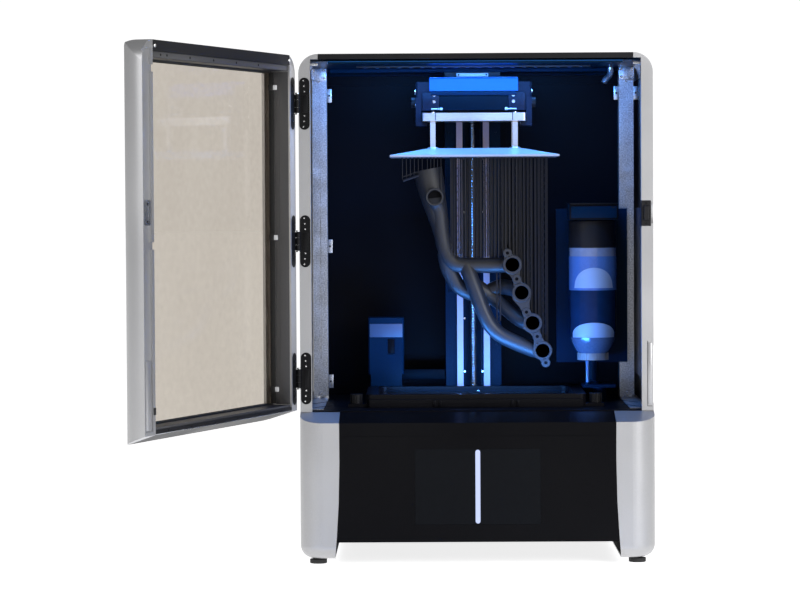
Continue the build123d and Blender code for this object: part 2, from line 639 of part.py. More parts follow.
# ---- door, modelled closed ------------------------------------------------------------
RAIL_INNER_X = HALF_W - DOOR_RAIL_W
DOOR_SLOPE = (DOOR_LOW_BACK_Z - DOOR_LOW_FRONT_Z) / (DOOR_BACK_Y - DOOR_FRONT_Y)
CHANNEL_D = 3.0
HINGE_INNER_X = -277.0   # inner wall of the hinge rail, behind the window
GLASS_Y0 = -47.2
GLASS_Y1 = -43.8


def top_edge_arc():
    """Points of the rounded top front edge, from the front face up to the top."""
    points = []
    for i in range(9):
        turn = math.radians(90 * i / 8)
        points.append((DOOR_FRONT_Y + DOOR_EDGE_R * (1 - math.cos(turn)),
                       DOOR_TOP_Z - DOOR_EDGE_R * (1 - math.sin(turn))))
    return points


STRIKE_Z0 = 577.0
STRIKE_Z1 = 615.0

for side, label in ((-1, "door_rail_hinge"), (1, "door_rail_free")):
    with BuildPart() as door_rail:
        radius = DOOR_HINGE_R if side < 0 else DOOR_FREE_R
        corner = DOOR_FRONT_Y + radius
        mid = radius * math.sin(math.pi / 4)
        arc_x = HALF_W - radius
        rise = radius - math.sqrt(radius ** 2 - (RAIL_INNER_X - arc_x) ** 2)
        with BuildSketch(Plane.XY.offset(DOOR_LOW_FRONT_Z)):
            with BuildLine():
                Line((side * HALF_W, DOOR_BACK_Y), (side * HALF_W, corner))
                ThreePointArc(
                    (side * HALF_W, corner),
                    (side * (arc_x + mid), corner - mid),
                    (side * RAIL_INNER_X, DOOR_FRONT_Y + rise),
                )
                Line((side * RAIL_INNER_X, DOOR_FRONT_Y + rise),
                     (side * RAIL_INNER_X, DOOR_BACK_Y))
                Line((side * RAIL_INNER_X, DOOR_BACK_Y), (side * HALF_W, DOOR_BACK_Y))
            make_face()
        extrude(amount=DOOR_TOP_Z - DOOR_LOW_FRONT_Z)
        # rounded top corner
        with BuildSketch(Plane.XZ):
            with Locations((side * (HALF_W - TOP_CORNER_R / 2 + 1),
                            DOOR_TOP_Z - TOP_CORNER_R / 2 + 1)):
                Rectangle(TOP_CORNER_R + 2, TOP_CORNER_R + 2)
            with Locations((side * (HALF_W - TOP_CORNER_R), DOOR_TOP_Z - TOP_CORNER_R)):
                Circle(TOP_CORNER_R, mode=Mode.SUBTRACT)
        extrude(amount=60, mode=Mode.SUBTRACT)
        # rounded top front edge
        arc = top_edge_arc()
        with BuildSketch(Plane.YZ.offset(-HALF_W - 2)):
            Polygon((DOOR_FRONT_Y - 2, arc[0][1]), *arc, (arc[-1][0], DOOR_TOP_Z + 2),
                    (DOOR_FRONT_Y - 2, DOOR_TOP_Z + 2), align=None)
        extrude(amount=2 * HALF_W + 4, mode=Mode.SUBTRACT)
        # underside follows the slope of the base's ledge
        with BuildSketch(Plane.YZ):
            Polygon(
                (DOOR_BACK_Y + 2, DOOR_LOW_BACK_Z + 2 * DOOR_SLOPE),
                (DOOR_FRONT_Y - 2, DOOR_LOW_FRONT_Z - 2 * DOOR_SLOPE),
                (DOOR_FRONT_Y - 2, 230),
                (DOOR_BACK_Y + 2, 230),
                align=None,
            )
        extrude(amount=side * (HALF_W + 2), mode=Mode.SUBTRACT)
        if side < 0:
            # the window and the cross bars reach in behind the front flange
            block(HINGE_INNER_X, -RAIL_INNER_X + 1, GLASS_Y0 - 0.2, 0, 230, 880,
                  mode=Mode.SUBTRACT)
            for z in HINGE_ZS:
                with BuildSketch(Plane.XZ.offset(-DOOR_BACK_Y)):
                    with Locations((LEAF_X, z)):
                        SlotOverall(LEAF_H + 0.4, LEAF_W + 0.4, rotation=90)
                extrude(amount=LEAF_T, mode=Mode.SUBTRACT)
                block(PIN_X - 6, PIN_X + 6.5, DOOR_BACK_Y - 3.3, DOOR_BACK_Y + 1,
                      z - POCKET_H, z + POCKET_H, mode=Mode.SUBTRACT)
        else:
            # a channel between two raised lips, and two gaps in the inner lip
            block(270, 297, DOOR_BACK_Y - CHANNEL_D, 0, 264, DOOR_TOP_Z - 14,
                  mode=Mode.SUBTRACT)
            for z in (546, 815.5):
                block(RAIL_INNER_X - 1, 271, DOOR_BACK_Y - CHANNEL_D, 0, z - 5.5, z + 5.5,
                      mode=Mode.SUBTRACT)
    save_on_door(door_rail, label)

with BuildPart() as door_top_bar:
    with BuildSketch(Plane.YZ.offset(HINGE_INNER_X)):
        Polygon(
            (DOOR_FRONT_Y, 829),
            *top_edge_arc(),
            (DOOR_BACK_Y, DOOR_TOP_Z),
            (DOOR_BACK_Y, 842),
            (DOOR_BACK_Y - 3, 842),
            (DOOR_BACK_Y - 3, 832),
            (GLASS_Y1 + 0.2, 832),
            (GLASS_Y1 + 0.2, 836),
            (GLASS_Y0 - 0.2, 836),
            (GLASS_Y0 - 0.2, 829),
            align=None,
        )
    extrude(amount=RAIL_INNER_X - HINGE_INNER_X)
    block(HINGE_INNER_X - 1, -RAIL_INNER_X, DOOR_FRONT_Y - 1, GLASS_Y0 - 0.2, 820, 870,
          mode=Mode.SUBTRACT)
save_on_door(door_top_bar, "door_top_bar")

with BuildPart() as door_bottom_bar:
    with BuildSketch(Plane.YZ.offset(HINGE_INNER_X)):
        Polygon(
            (DOOR_FRONT_Y, DOOR_LOW_FRONT_Z),
            (DOOR_FRONT_Y, 271.5),
            (GLASS_Y0 - 0.2, 271.5),
            (GLASS_Y0 - 0.2, 265.5),
            (GLASS_Y1 + 0.2, 265.5),
            (GLASS_Y1 + 0.2, 269),
            (DOOR_BACK_Y - 3, 269),
            (DOOR_BACK_Y - 3, 265),
            (DOOR_BACK_Y, 265),
            (DOOR_BACK_Y, DOOR_LOW_BACK_Z),
            align=None,
        )
    extrude(amount=RAIL_INNER_X - HINGE_INNER_X)
    block(HINGE_INNER_X - 1, -RAIL_INNER_X, DOOR_FRONT_Y - 1, GLASS_Y0 - 0.2, 235, 280,
          mode=Mode.SUBTRACT)
save_on_door(door_bottom_bar, "door_bottom_bar")

with BuildPart() as door_window:
    block(HINGE_INNER_X + 0.2, RAIL_INNER_X - 0.2, GLASS_Y0, GLASS_Y1, 265.8, 835.7)
save_on_door(door_window, "door_window")

with BuildPart() as strike_plate:
    block(273, 295, DOOR_BACK_Y - CHANNEL_D, DOOR_BACK_Y - 0.6, STRIKE_Z0, STRIKE_Z1)
    block(277, 281, DOOR_BACK_Y - 4, DOOR_BACK_Y, 586, 606, mode=Mode.SUBTRACT)
    fillet(strike_plate.edges().filter_by(Axis.Y), 1.2)
save_on_door(strike_plate, "strike_plate")

# ---- moving carriage ----------------------------------------------------------------
CARRIAGE_Y = 308.0
CARRIAGE_T = 8.0
SLIDE_GAP = 0.35
with BuildPart() as carriage_plate:
    block(-45, 45, CARRIAGE_Y, CARRIAGE_Y + CARRIAGE_T, 756, 832)
    for side in (-1, 1):
        for z in (758, 798):
            block(side * RAIL_X - 12, side * RAIL_X + 12, CARRIAGE_Y + CARRIAGE_T,
                  COLUMN_FRONT_Y - 1, z, z + 30)
            block(side * RAIL_X - RAIL_W / 2 - SLIDE_GAP, side * RAIL_X + RAIL_W / 2 + SLIDE_GAP,
                  COLUMN_FRONT_Y - RAIL_T - SLIDE_GAP, COLUMN_FRONT_Y, z - 1, z + 31,
                  mode=Mode.SUBTRACT)
    block(-11.5, 11.5, CARRIAGE_Y + CARRIAGE_T, SCREW_Y + 12, 770, 802)
    post(0, SCREW_Y, SCREW_R + 0.4, 765, 806, mode=Mode.SUBTRACT)
save(carriage_plate, "carriage_plate")

ARM_FRONT_Y = 190.0
KNOB_Y = 217.0
KNOB_Z = 786.0
KNOB_TIP_X = 88.0        # inner end of a clamp screw, in a bore of the arm
KNOB_STEM_R = 3.0
with BuildPart() as arm_block:
    block(-ARM_W / 2, ARM_W / 2, ARM_FRONT_Y, CARRIAGE_Y, ARM_Z, ARM_Z + ARM_H)
    chamfer(arm_block.edges().filter_by(Axis.Z), 3)
    block(-ARM_W / 2 + 10, -6, ARM_FRONT_Y + 46, CARRIAGE_Y - 10, ARM_Z + 8,
          ARM_Z + ARM_H + 1, mode=Mode.SUBTRACT)
    block(6, ARM_W / 2 - 10, ARM_FRONT_Y + 46, CARRIAGE_Y - 10, ARM_Z + 8,
          ARM_Z + ARM_H + 1, mode=Mode.SUBTRACT)
    for side in (-1, 1):
        with Locations(Location((side * (KNOB_TIP_X - 1 + 105) / 2, KNOB_Y, KNOB_Z),
                                (0, 90, 0))):
            Cylinder(KNOB_STEM_R + RUN_FIT, 105 - KNOB_TIP_X + 1, mode=Mode.SUBTRACT)
save(arm_block, "arm_block")

with BuildPart() as arm_cover:
    block(-77.5, 77.5, ARM_FRONT_Y - 9, ARM_FRONT_Y, 805, 829)
    block(-77.5, 77.5, ARM_FRONT_Y, ARM_FRONT_Y + 44, ARM_Z + ARM_H, 829)
    fillet(arm_cover.edges().filter_by(Axis.X).group_by(Axis.Y)[0].sort_by(Axis.Z)[-1], 4)
save(arm_cover, "arm_cover")

HOOK_X0 = 92.5
HOOK_X1 = 102.0
HOOK_Y0 = ARM_FRONT_Y - 4
HOOK_Y1 = 252.0
HOOK_BOTTOM_Z = 744.0
with BuildPart() as platform_hooks:
    for side in (-1, 1):
        x0, x1 = sorted((side * HOOK_X0, side * HOOK_X1))
        block(x0, x1, HOOK_Y0, HOOK_Y1, HOOK_BOTTOM_Z, ARM_Z)
        block(x0, x1, HOOK_Y0, ARM_FRONT_Y, ARM_Z, 794)
        x0, x1 = sorted((side * 82, side * HOOK_X0))
        block(x0, x1, HOOK_Y0, HOOK_Y1, HOOK_BOTTOM_Z, BRIDGE_Z - 0.4)
save(platform_hooks, "platform_hooks")

KNOB_HEAD_X = HOOK_X1 + 0.5
for side, label in ((-1, "clamp_knob_left"), (1, "clamp_knob_right")):
    with BuildPart() as clamp_knob:
        with Locations(Location((side * (KNOB_HEAD_X + KNOB_TIP_X) / 2, KNOB_Y, KNOB_Z),
                                (0, 90, 0))):
            Cylinder(KNOB_STEM_R, KNOB_HEAD_X - KNOB_TIP_X)
        with BuildSketch(Plane.YZ.offset(side * KNOB_HEAD_X)):
            with Locations((KNOB_Y, KNOB_Z)):
                Circle(9)
                with PolarLocations(10.4, 6):
                    Circle(2.6, mode=Mode.SUBTRACT)
        extrude(amount=side * 7)
    save(clamp_knob, label)

with BuildPart() as lead_screw:
    post(0, SCREW_Y, SHAFT_R, 176, 206)
    post(0, SCREW_Y, 13, 206, 240)
    post(0, SCREW_Y, SCREW_R, 240, COLUMN_TOP_Z + 7)
    block(-0.8, 0.8, SCREW_Y + 6, SCREW_Y + 14, 205, 241, mode=Mode.SUBTRACT)
save(lead_screw, "lead_screw")

# ---- build platform -----------------------------------------------------------------
PLATE_EDGE = 3.0
PLATE_CROWN_Z = 704.0
POST_X = 72.0
with BuildPart() as build_plate:
    block(-PLATE_X / 2, PLATE_X / 2, VAT_Y - PLATE_Y / 2, VAT_Y + PLATE_Y / 2,
          PLATE_BOTTOM_Z, PLATE_BOTTOM_Z + PLATE_EDGE)
    with BuildSketch(Plane.XY.offset(PLATE_BOTTOM_Z + PLATE_EDGE)):
        with Locations((0, VAT_Y)):
            Rectangle(PLATE_X, PLATE_Y)
    with BuildSketch(Plane.XY.offset(PLATE_CROWN_Z)):
        with Locations((0, VAT_Y)):
            Rectangle(160, 100)
    loft()
save(build_plate, "build_plate")

with BuildPart() as platform_bridge:
    block(-91, 91, 165, 245, BRIDGE_Z, BRIDGE_Z + BRIDGE_T)
    fillet(platform_bridge.edges().filter_by(Axis.Z), 4)
    for x in (-POST_X, POST_X):
        for y in (173, 237):
            block(x - 4.5, x + 4.5, y - 4.5, y + 4.5, PLATE_CROWN_Z, BRIDGE_Z)
save(platform_bridge, "platform_bridge")

# ---- vat ----------------------------------------------------------------------------
VAT_W = 380.0
VAT_D = 236.0
VAT_BOTTOM_Z = DECK_TOP_Z + 0.4
VAT_TOP_Z = 278.5
FILM_Z = 260.2
FILM_T = 0.6
WELL = (340.0, 204.0)
EAR_X = 207.0
EAR_Y = 100.0
with BuildPart() as vat_frame:
    with BuildSketch(Plane.XY.offset(VAT_BOTTOM_Z)):
        with Locations((0, VAT_Y)):
            RectangleRounded(VAT_W, VAT_D, 10)
    extrude(amount=VAT_TOP_Z - VAT_BOTTOM_Z)
    block(-VAT_W / 2 + 6, VAT_W / 2 - 6, VAT_Y - VAT_D / 2 - 8, VAT_Y, VAT_BOTTOM_Z, 270)
    for side in (-1, 1):
        x0, x1 = sorted((side * (VAT_W / 2 - 4), side * (EAR_X + 14)))
        block(x0, x1, EAR_Y - 13, EAR_Y + 13, VAT_BOTTOM_Z, 262)
        post(side * EAR_X, EAR_Y, KNOB_STEM_R + RUN_FIT, 250, 265, mode=Mode.SUBTRACT)
    with BuildSketch(Plane.XY.offset(VAT_BOTTOM_Z - 1)):
        with Locations((0, VAT_Y)):
            RectangleRounded(*WELL, 14)
    extrude(amount=60, mode=Mode.SUBTRACT)
    block(-175, 175, VAT_Y - 108, VAT_Y + 108, VAT_BOTTOM_Z - 1, FILM_Z + FILM_T,
          mode=Mode.SUBTRACT)
save(vat_frame, "vat_frame")

with BuildPart() as vat_film:
    block(-174.6, 174.6, VAT_Y - 107.6, VAT_Y + 107.6, FILM_Z, FILM_Z + FILM_T)
save(vat_film, "vat_film")

for side, label in ((-1, "vat_knob_left"), (1, "vat_knob_right")):
    with BuildPart() as vat_knob:
        post(side * EAR_X, EAR_Y, KNOB_STEM_R, DECK_TOP_Z + 0.5, 263)
        with BuildSketch(Plane.XY.offset(262.5)):
            with Locations((side * EAR_X, EAR_Y)):
                Circle(11)
                with PolarLocations(11.4, 12):
                    Circle(1.2, mode=Mode.SUBTRACT)
        extrude(amount=VAT_TOP_Z - 262.5)
    save(vat_knob, label)

# ---- resin bottle, upside down on its valve cap ----------------------------------------
BOTTLE_PLANE = Plane(origin=(BOTTLE_X, BOTTLE_Y, 0), x_dir=(1, 0, 0), z_dir=(0, -1, 0))
NECK_Z = CAP_Z + CAP_H
with BuildPart() as resin_bottle:
    with BuildSketch(BOTTLE_PLANE):
        with BuildLine():
            Line((0, NECK_Z), (26, NECK_Z))
            ThreePointArc((26, NECK_Z), (36.5, NECK_Z + 17), (BOTTLE_R, NECK_Z + 44))
            Line((BOTTLE_R, NECK_Z + 44), (BOTTLE_R, BOTTLE_TOP_Z - 3))
            ThreePointArc(
                (BOTTLE_R, BOTTLE_TOP_Z - 3),
                (BOTTLE_R - 0.9, BOTTLE_TOP_Z - 0.9),
                (BOTTLE_R - 3, BOTTLE_TOP_Z),
            )
            Line((BOTTLE_R - 3, BOTTLE_TOP_Z), (0, BOTTLE_TOP_Z))
            Line((0, BOTTLE_TOP_Z), (0, NECK_Z))
        make_face()
    revolve(axis=Axis((BOTTLE_X, BOTTLE_Y, 0), (0, 0, 1)))
save(resin_bottle, "resin_bottle")

with BuildPart() as bottle_cap:
    with BuildSketch(Plane.XY.offset(CAP_Z)):
        with Locations((BOTTLE_X, BOTTLE_Y)):
            Circle(27)
            with PolarLocations(27, 36):
                Rectangle(1.4, 2.4)
    extrude(amount=CAP_H)
save(bottle_cap, "bottle_cap")
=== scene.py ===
"""A benchtop resin printer with its framed door standing open.

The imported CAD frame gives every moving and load-carrying part.  This script adds the
finishes, the small fittings, the half-printed workpiece, the lights and the camera.
Helpers and tables are in millimetres; meshes are scaled to metres when they are made.
"""

import json
import math
import random

import bmesh
import bpy
from mathutils import Matrix, Quaternion, Vector


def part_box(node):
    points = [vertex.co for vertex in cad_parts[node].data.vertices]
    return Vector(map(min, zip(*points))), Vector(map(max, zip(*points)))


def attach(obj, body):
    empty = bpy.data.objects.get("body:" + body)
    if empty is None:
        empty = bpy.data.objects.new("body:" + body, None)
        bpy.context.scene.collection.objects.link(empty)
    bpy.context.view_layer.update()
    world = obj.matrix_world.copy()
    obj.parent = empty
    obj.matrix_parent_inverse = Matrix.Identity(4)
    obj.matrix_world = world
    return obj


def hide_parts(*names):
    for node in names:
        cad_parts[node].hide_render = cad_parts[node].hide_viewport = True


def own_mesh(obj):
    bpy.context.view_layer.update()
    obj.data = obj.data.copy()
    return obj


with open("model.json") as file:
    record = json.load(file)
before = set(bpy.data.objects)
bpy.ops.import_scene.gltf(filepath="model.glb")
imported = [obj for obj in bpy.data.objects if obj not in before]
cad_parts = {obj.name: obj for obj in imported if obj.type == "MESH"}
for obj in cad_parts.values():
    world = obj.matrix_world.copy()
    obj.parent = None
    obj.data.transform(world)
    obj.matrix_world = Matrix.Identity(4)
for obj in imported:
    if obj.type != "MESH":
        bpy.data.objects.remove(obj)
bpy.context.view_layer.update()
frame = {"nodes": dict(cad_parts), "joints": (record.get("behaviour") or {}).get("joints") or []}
nodes = frame["nodes"]
rng = random.Random(7)

MM = 0.001
PRINTER = "printer"

# ---------------------------------------------------------------- places from the frame


def node_box(name):
    """Lowest and highest corner of a CAD node, in millimetres."""
    low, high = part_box(name)
    return Vector(low) / MM, Vector(high) / MM


def joint(name):
    """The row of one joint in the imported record."""
    return next(row for row in frame["joints"] if row["name"] == name)


door_row = joint("door_hinge")
door_pin = Vector(door_row["pos_m"])
door_turn = Matrix.Rotation(-math.radians(door_row["range_deg"][1]), 4, "Z")
DOOR_PLACE = Matrix.Translation(door_pin) @ door_turn @ Matrix.Translation(-door_pin)

# ---------------------------------------------------------------- finishes


def noise(tree, vector, scale, detail):
    """A noise texture fed by an object-space vector."""
    made = tree.nodes.new("ShaderNodeTexNoise")
    made.inputs["Scale"].default_value = scale
    made.inputs["Detail"].default_value = detail
    tree.links.new(vector, made.inputs["Vector"])
    return made.outputs["Fac"]


NOISE_LOW, NOISE_HIGH = 0.35, 0.65  # where nearly all of a noise value lies


def spread(tree, value, low, high):
    """Stretches a noise value to the range low to high."""
    made = tree.nodes.new("ShaderNodeMapRange")
    made.inputs["From Min"].default_value = NOISE_LOW
    made.inputs["From Max"].default_value = NOISE_HIGH
    made.inputs["To Min"].default_value = low
    made.inputs["To Max"].default_value = high
    tree.links.new(value, made.inputs["Value"])
    return made.outputs["Result"]


def finish(name, dark, light, rough, metallic=0.0, grain=900.0, stretch=(1.0, 1.0, 1.0),
           broad=6.0, share=0.5, bump=0.15, depth=0.05, sockets=None):
    """A procedural finish.

    Fine grain and broad mottling drive the colour between dark and light, the roughness
    between its two values and the bump.  stretch draws the grain out into brushing.
    sockets sets further values on the shader itself.
    """
    made = bpy.data.materials.new(name)
    made.use_nodes = True
    tree = made.node_tree
    skin = tree.nodes["Principled BSDF"]
    skin.inputs["Metallic"].default_value = metallic
    for socket, value in (sockets or {}).items():
        skin.inputs[socket].default_value = value
    place = tree.nodes.new("ShaderNodeTexCoord")
    drawn = tree.nodes.new("ShaderNodeMapping")
    drawn.inputs["Scale"].default_value = stretch
    tree.links.new(place.outputs["Object"], drawn.inputs["Vector"])
    fine = noise(tree, drawn.outputs["Vector"], grain, 3.0)
    wide = noise(tree, place.outputs["Object"], broad, 2.0)
    mottle = tree.nodes.new("ShaderNodeMix")
    mottle.inputs["Factor"].default_value = share
    tree.links.new(fine, mottle.inputs["A"])
    tree.links.new(wide, mottle.inputs["B"])
    tint = tree.nodes.new("ShaderNodeValToRGB")
    tint.color_ramp.elements[0].position = 0.36
    tint.color_ramp.elements[1].position = 0.64
    tint.color_ramp.elements[0].color = (*dark, 1.0)
    tint.color_ramp.elements[1].color = (*light, 1.0)
    tree.links.new(mottle.outputs["Result"], tint.inputs["Fac"])
    tree.links.new(tint.outputs["Color"], skin.inputs["Base Color"])
    tree.links.new(spread(tree, wide, *rough), skin.inputs["Roughness"])
    relief = tree.nodes.new("ShaderNodeBump")
    relief.inputs["Strength"].default_value = bump
    relief.inputs["Distance"].default_value = depth * MM
    tree.links.new(fine, relief.inputs["Height"])
    tree.links.new(relief.outputs["Normal"], skin.inputs["Normal"])
    return made


silver = finish("silver_paint_fine", (0.40, 0.40, 0.41), (0.50, 0.50, 0.51), (0.34, 0.42),
                metallic=0.75, grain=1500, share=0.35, bump=0.25, depth=0.04,
                sockets={"Coat Weight": 0.15, "Coat Roughness": 0.25})
silver_post = finish("plated_sheet", (0.33, 0.34, 0.36), (0.66, 0.67, 0.70), (0.32, 0.44),
                     metallic=0.9, grain=420, broad=40, share=0.15, bump=0.35, depth=0.06)
cover_black = finish("cover_black_satin", (0.010, 0.010, 0.011), (0.016, 0.016, 0.018),
                     (0.34, 0.44), grain=1400, bump=0.2, depth=0.03,
                     sockets={"Specular IOR Level": 0.12})
fascia_black = finish("fascia_black_gloss", (0.004, 0.004, 0.005), (0.006, 0.006, 0.007),
                      (0.16, 0.22), grain=500, bump=0.03, depth=0.02,
                      sockets={"Specular IOR Level": 0.03})
chamber_black = finish("chamber_black_sheet", (0.003, 0.003, 0.004), (0.005, 0.005, 0.007),
                       (0.36, 0.46), grain=1100, bump=0.15, depth=0.03,
                       sockets={"Specular IOR Level": 0.03})
# painted light: the dark panels' blue cast stands in for the chamber's blue LED light
panel_painted_blue_light = finish("chamber_panel_painted_blue_light", (0.001, 0.010, 0.026), (0.002, 0.017, 0.042),
                    (0.30, 0.40), grain=900, bump=0.12, depth=0.03,
                    sockets={"Specular IOR Level": 0.03})
frame_black = finish("powder_black", (0.010, 0.010, 0.011), (0.018, 0.018, 0.020),
                     (0.45, 0.60), grain=700, bump=0.5, depth=0.08,
                     sockets={"Specular IOR Level": 0.3})
oxide_black = finish("oxide_black", (0.004, 0.004, 0.005), (0.008, 0.008, 0.009),
                     (0.34, 0.46), metallic=0.1, grain=900, bump=0.2, depth=0.03,
                     sockets={"Specular IOR Level": 0.15})
screen_glass = finish("screen_glass", (0.005, 0.0055, 0.007), (0.006, 0.007, 0.009),
                      (0.06, 0.10), grain=300, bump=0.01, depth=0.01,
                      sockets={"Specular IOR Level": 0.035})
mask_glass = finish("mask_glass", (0.006, 0.008, 0.012), (0.010, 0.012, 0.016),
                    (0.04, 0.08), grain=300, bump=0.01, depth=0.01,
                    sockets={"Specular IOR Level": 0.12})
# painted light: a purple cast on the steel stands in for the chamber light falling on the rails
rail_steel_painted_purple_light = finish("rail_steel_painted_purple_light", (0.46, 0.38, 0.46), (0.56, 0.47, 0.56), (0.36, 0.46),
                    metallic=0.25, grain=1500, stretch=(1.0, 1.0, 0.1), bump=0.1, depth=0.02)
# painted shade with painted blue light: a near-black blue for surfaces in shade, used on the arm
# front and the rear bracket
painted_blue_shade = finish("painted_blue_shade", (0.0006, 0.0035, 0.0075), (0.001, 0.006, 0.011),
                     (0.4, 0.5), grain=1200, bump=0.1, depth=0.02,
                     sockets={"Specular IOR Level": 0.03})
aluminium = finish("aluminium_machined", (0.50, 0.51, 0.53), (0.62, 0.63, 0.65),
                   (0.24, 0.34), metallic=0.9, grain=1100, stretch=(0.12, 1.0, 1.0),
                   bump=0.15, depth=0.03)
anodised = finish("arm_anodised", (0.004, 0.007, 0.015), (0.007, 0.012, 0.024), (0.34, 0.44),
                  metallic=0.1, grain=1300, bump=0.12, depth=0.02,
                  sockets={"Specular IOR Level": 0.08})
# painted light: a bright blue base colour stands in for the chamber's blue LED light on the arm
# cover and on a highlight line under the ceiling
painted_blue_light = finish("arm_cover_painted_blue_light", (0.006, 0.085, 0.31), (0.008, 0.095, 0.35),
                     (0.36, 0.44), grain=1500, bump=0.1, depth=0.02,
                     sockets={"Specular IOR Level": 0.15})
plate_metal = finish("plate_blasted", (0.34, 0.32, 0.32), (0.42, 0.40, 0.40), (0.38, 0.50),
                     metallic=0.55, grain=1500, bump=0.4, depth=0.05)
steel = finish("steel_ground", (0.52, 0.53, 0.54), (0.66, 0.67, 0.68), (0.20, 0.30),
               metallic=0.95, grain=1500, stretch=(1.0, 1.0, 0.08), bump=0.1, depth=0.02)
bright_steel = finish("fastener_steel", (0.62, 0.62, 0.63), (0.78, 0.78, 0.79),
                      (0.18, 0.28), metallic=1.0, grain=2500, bump=0.1, depth=0.02)
# painted light: the column's dark metal carries a blue cast that stands in for the chamber's
# blue LED light
column_metal_painted_blue_light = finish("column_cast_painted_blue_light", (0.001, 0.009, 0.022), (0.002, 0.015, 0.034),
                      (0.34, 0.46), metallic=0.1, grain=900, stretch=(1.0, 1.0, 0.15),
                      bump=0.15, depth=0.03, sockets={"Specular IOR Level": 0.06})
rubber = finish("foot_rubber", (0.012, 0.012, 0.012), (0.022, 0.022, 0.022), (0.65, 0.8),
                grain=1100, bump=0.5, depth=0.1)
plastic = finish("plastic_black", (0.008, 0.008, 0.010), (0.013, 0.013, 0.015),
                 (0.38, 0.5), grain=1600, bump=0.35, depth=0.05,
                 sockets={"Specular IOR Level": 0.2})
vat_black = finish("vat_black", (0.004, 0.004, 0.006), (0.007, 0.007, 0.010),
                   (0.28, 0.38), grain=1300, bump=0.2, depth=0.03,
                   sockets={"Specular IOR Level": 0.1})
white_plastic = finish("plastic_white", (0.62, 0.63, 0.65), (0.74, 0.75, 0.77),
                       (0.35, 0.45), grain=1300, bump=0.2, depth=0.04)
cap_grey = finish("cap_plastic", (0.20, 0.21, 0.23), (0.28, 0.29, 0.31), (0.35, 0.45),
                  grain=1300, bump=0.2, depth=0.04)
# painted light: the pale labels' blue tone stands in for the chamber's blue LED light
label = finish("label_paper_painted_blue_light", (0.26, 0.36, 0.52), (0.32, 0.42, 0.60), (0.45, 0.55),
               grain=1800, bump=0.2, depth=0.03)
# painted light: the label's dark blue stands in for the blue LED light on it
sensor_label_painted_blue_light = finish("sensor_label_painted_blue_light", (0.03, 0.06, 0.12), (0.04, 0.08, 0.15), (0.4, 0.5),
                      grain=1800, bump=0.1, depth=0.02)
bottle_dark = finish("bottle_dark", (0.005, 0.018, 0.050), (0.007, 0.024, 0.066),
                     (0.10, 0.16), grain=60, bump=0.02, depth=0.05,
                     sockets={"Specular IOR Level": 0.08})
bottle_clear = finish("bottle_clear", (0.16, 0.20, 0.30), (0.22, 0.27, 0.38), (0.06, 0.1),
                      grain=60, bump=0.02, depth=0.05,
                      sockets={"Coat Weight": 0.6, "Coat Roughness": 0.05})
bottle_sleeve = finish("bottle_sleeve", (0.06, 0.14, 0.36), (0.09, 0.19, 0.46),
                       (0.18, 0.26), grain=700, bump=0.05, depth=0.02)
bottle_shoulder = finish("bottle_shoulder", (0.10, 0.15, 0.26), (0.14, 0.20, 0.34),
                         (0.16, 0.22), metallic=0.3, grain=300, bump=0.03, depth=0.03)
# painted light: the clear tube's blue colour stands in for the blue LED light glowing in it
tube_clear_painted_blue_glow = finish("tube_clear_painted_blue_glow", (0.10, 0.22, 0.42), (0.14, 0.28, 0.52), (0.12, 0.2),
                    grain=900, bump=0.05, depth=0.02,
                    sockets={"Transmission Weight": 0.3})
film_clear = finish("film_clear", (0.004, 0.010, 0.022), (0.008, 0.016, 0.032), (0.20, 0.30),
                    grain=200, bump=0.03, depth=0.03,
                    sockets={"Specular IOR Level": 0.04})
resin_grey = finish("printed_resin", (0.012, 0.013, 0.016), (0.020, 0.021, 0.026),
                    (0.42, 0.55), grain=900, stretch=(0.3, 0.3, 4.0), bump=0.4, depth=0.06)
support_grey = finish("support_resin", (0.006, 0.007, 0.011), (0.012, 0.013, 0.020),
                      (0.40, 0.50), grain=900, bump=0.3, depth=0.05,
                      sockets={"Specular IOR Level": 0.3})
circuit_green = finish("circuit_board", (0.010, 0.07, 0.03), (0.02, 0.13, 0.06),
                       (0.25, 0.4), grain=500, bump=0.3, depth=0.05)
glow_bar = finish("light_bar_diffuser", (0.06, 0.07, 0.12), (0.09, 0.10, 0.16), (0.3, 0.4),
                  grain=1200, bump=0.05, depth=0.02,
                  sockets={"Emission Color": (0.55, 0.63, 0.95, 1.0),
                           "Emission Strength": 0.95})
glow_blue = finish("led_strip", (0.01, 0.03, 0.10), (0.015, 0.04, 0.12), (0.3, 0.4),
                   grain=1200, bump=0.05, depth=0.02,
                   sockets={"Emission Color": (0.05, 0.28, 1.0, 1.0),
                            "Emission Strength": 0.03})
window_tint = finish("window_tint", (0.51, 0.465, 0.41), (0.56, 0.515, 0.455), (0.02, 0.05),
                     grain=90, broad=3, bump=0.01, depth=0.02,
                     sockets={"Transmission Weight": 1.0, "IOR": 1.08})
gasket = finish("gasket_black", (0.006, 0.006, 0.006), (0.012, 0.012, 0.012), (0.55, 0.7),
                grain=1200, bump=0.3, depth=0.06)
door_inside = finish("door_inner_grey", (0.055, 0.055, 0.058), (0.085, 0.085, 0.09),
                     (0.40, 0.50), metallic=0.3, grain=1400, bump=0.2, depth=0.03)
brass = finish("pin_brass", (0.55, 0.40, 0.15), (0.68, 0.52, 0.22), (0.2, 0.3),
               metallic=1.0, grain=900, bump=0.1, depth=0.02)
floor_pale = finish("floor_pale", (0.88, 0.88, 0.88), (0.91, 0.91, 0.91), (0.6, 0.7),
                    grain=60, broad=0.6, bump=0.05, depth=0.2,
                    sockets={"Specular IOR Level": 0.2,
                             "Emission Color": (1.0, 1.0, 1.0, 1.0),
                             "Emission Strength": 0.80})

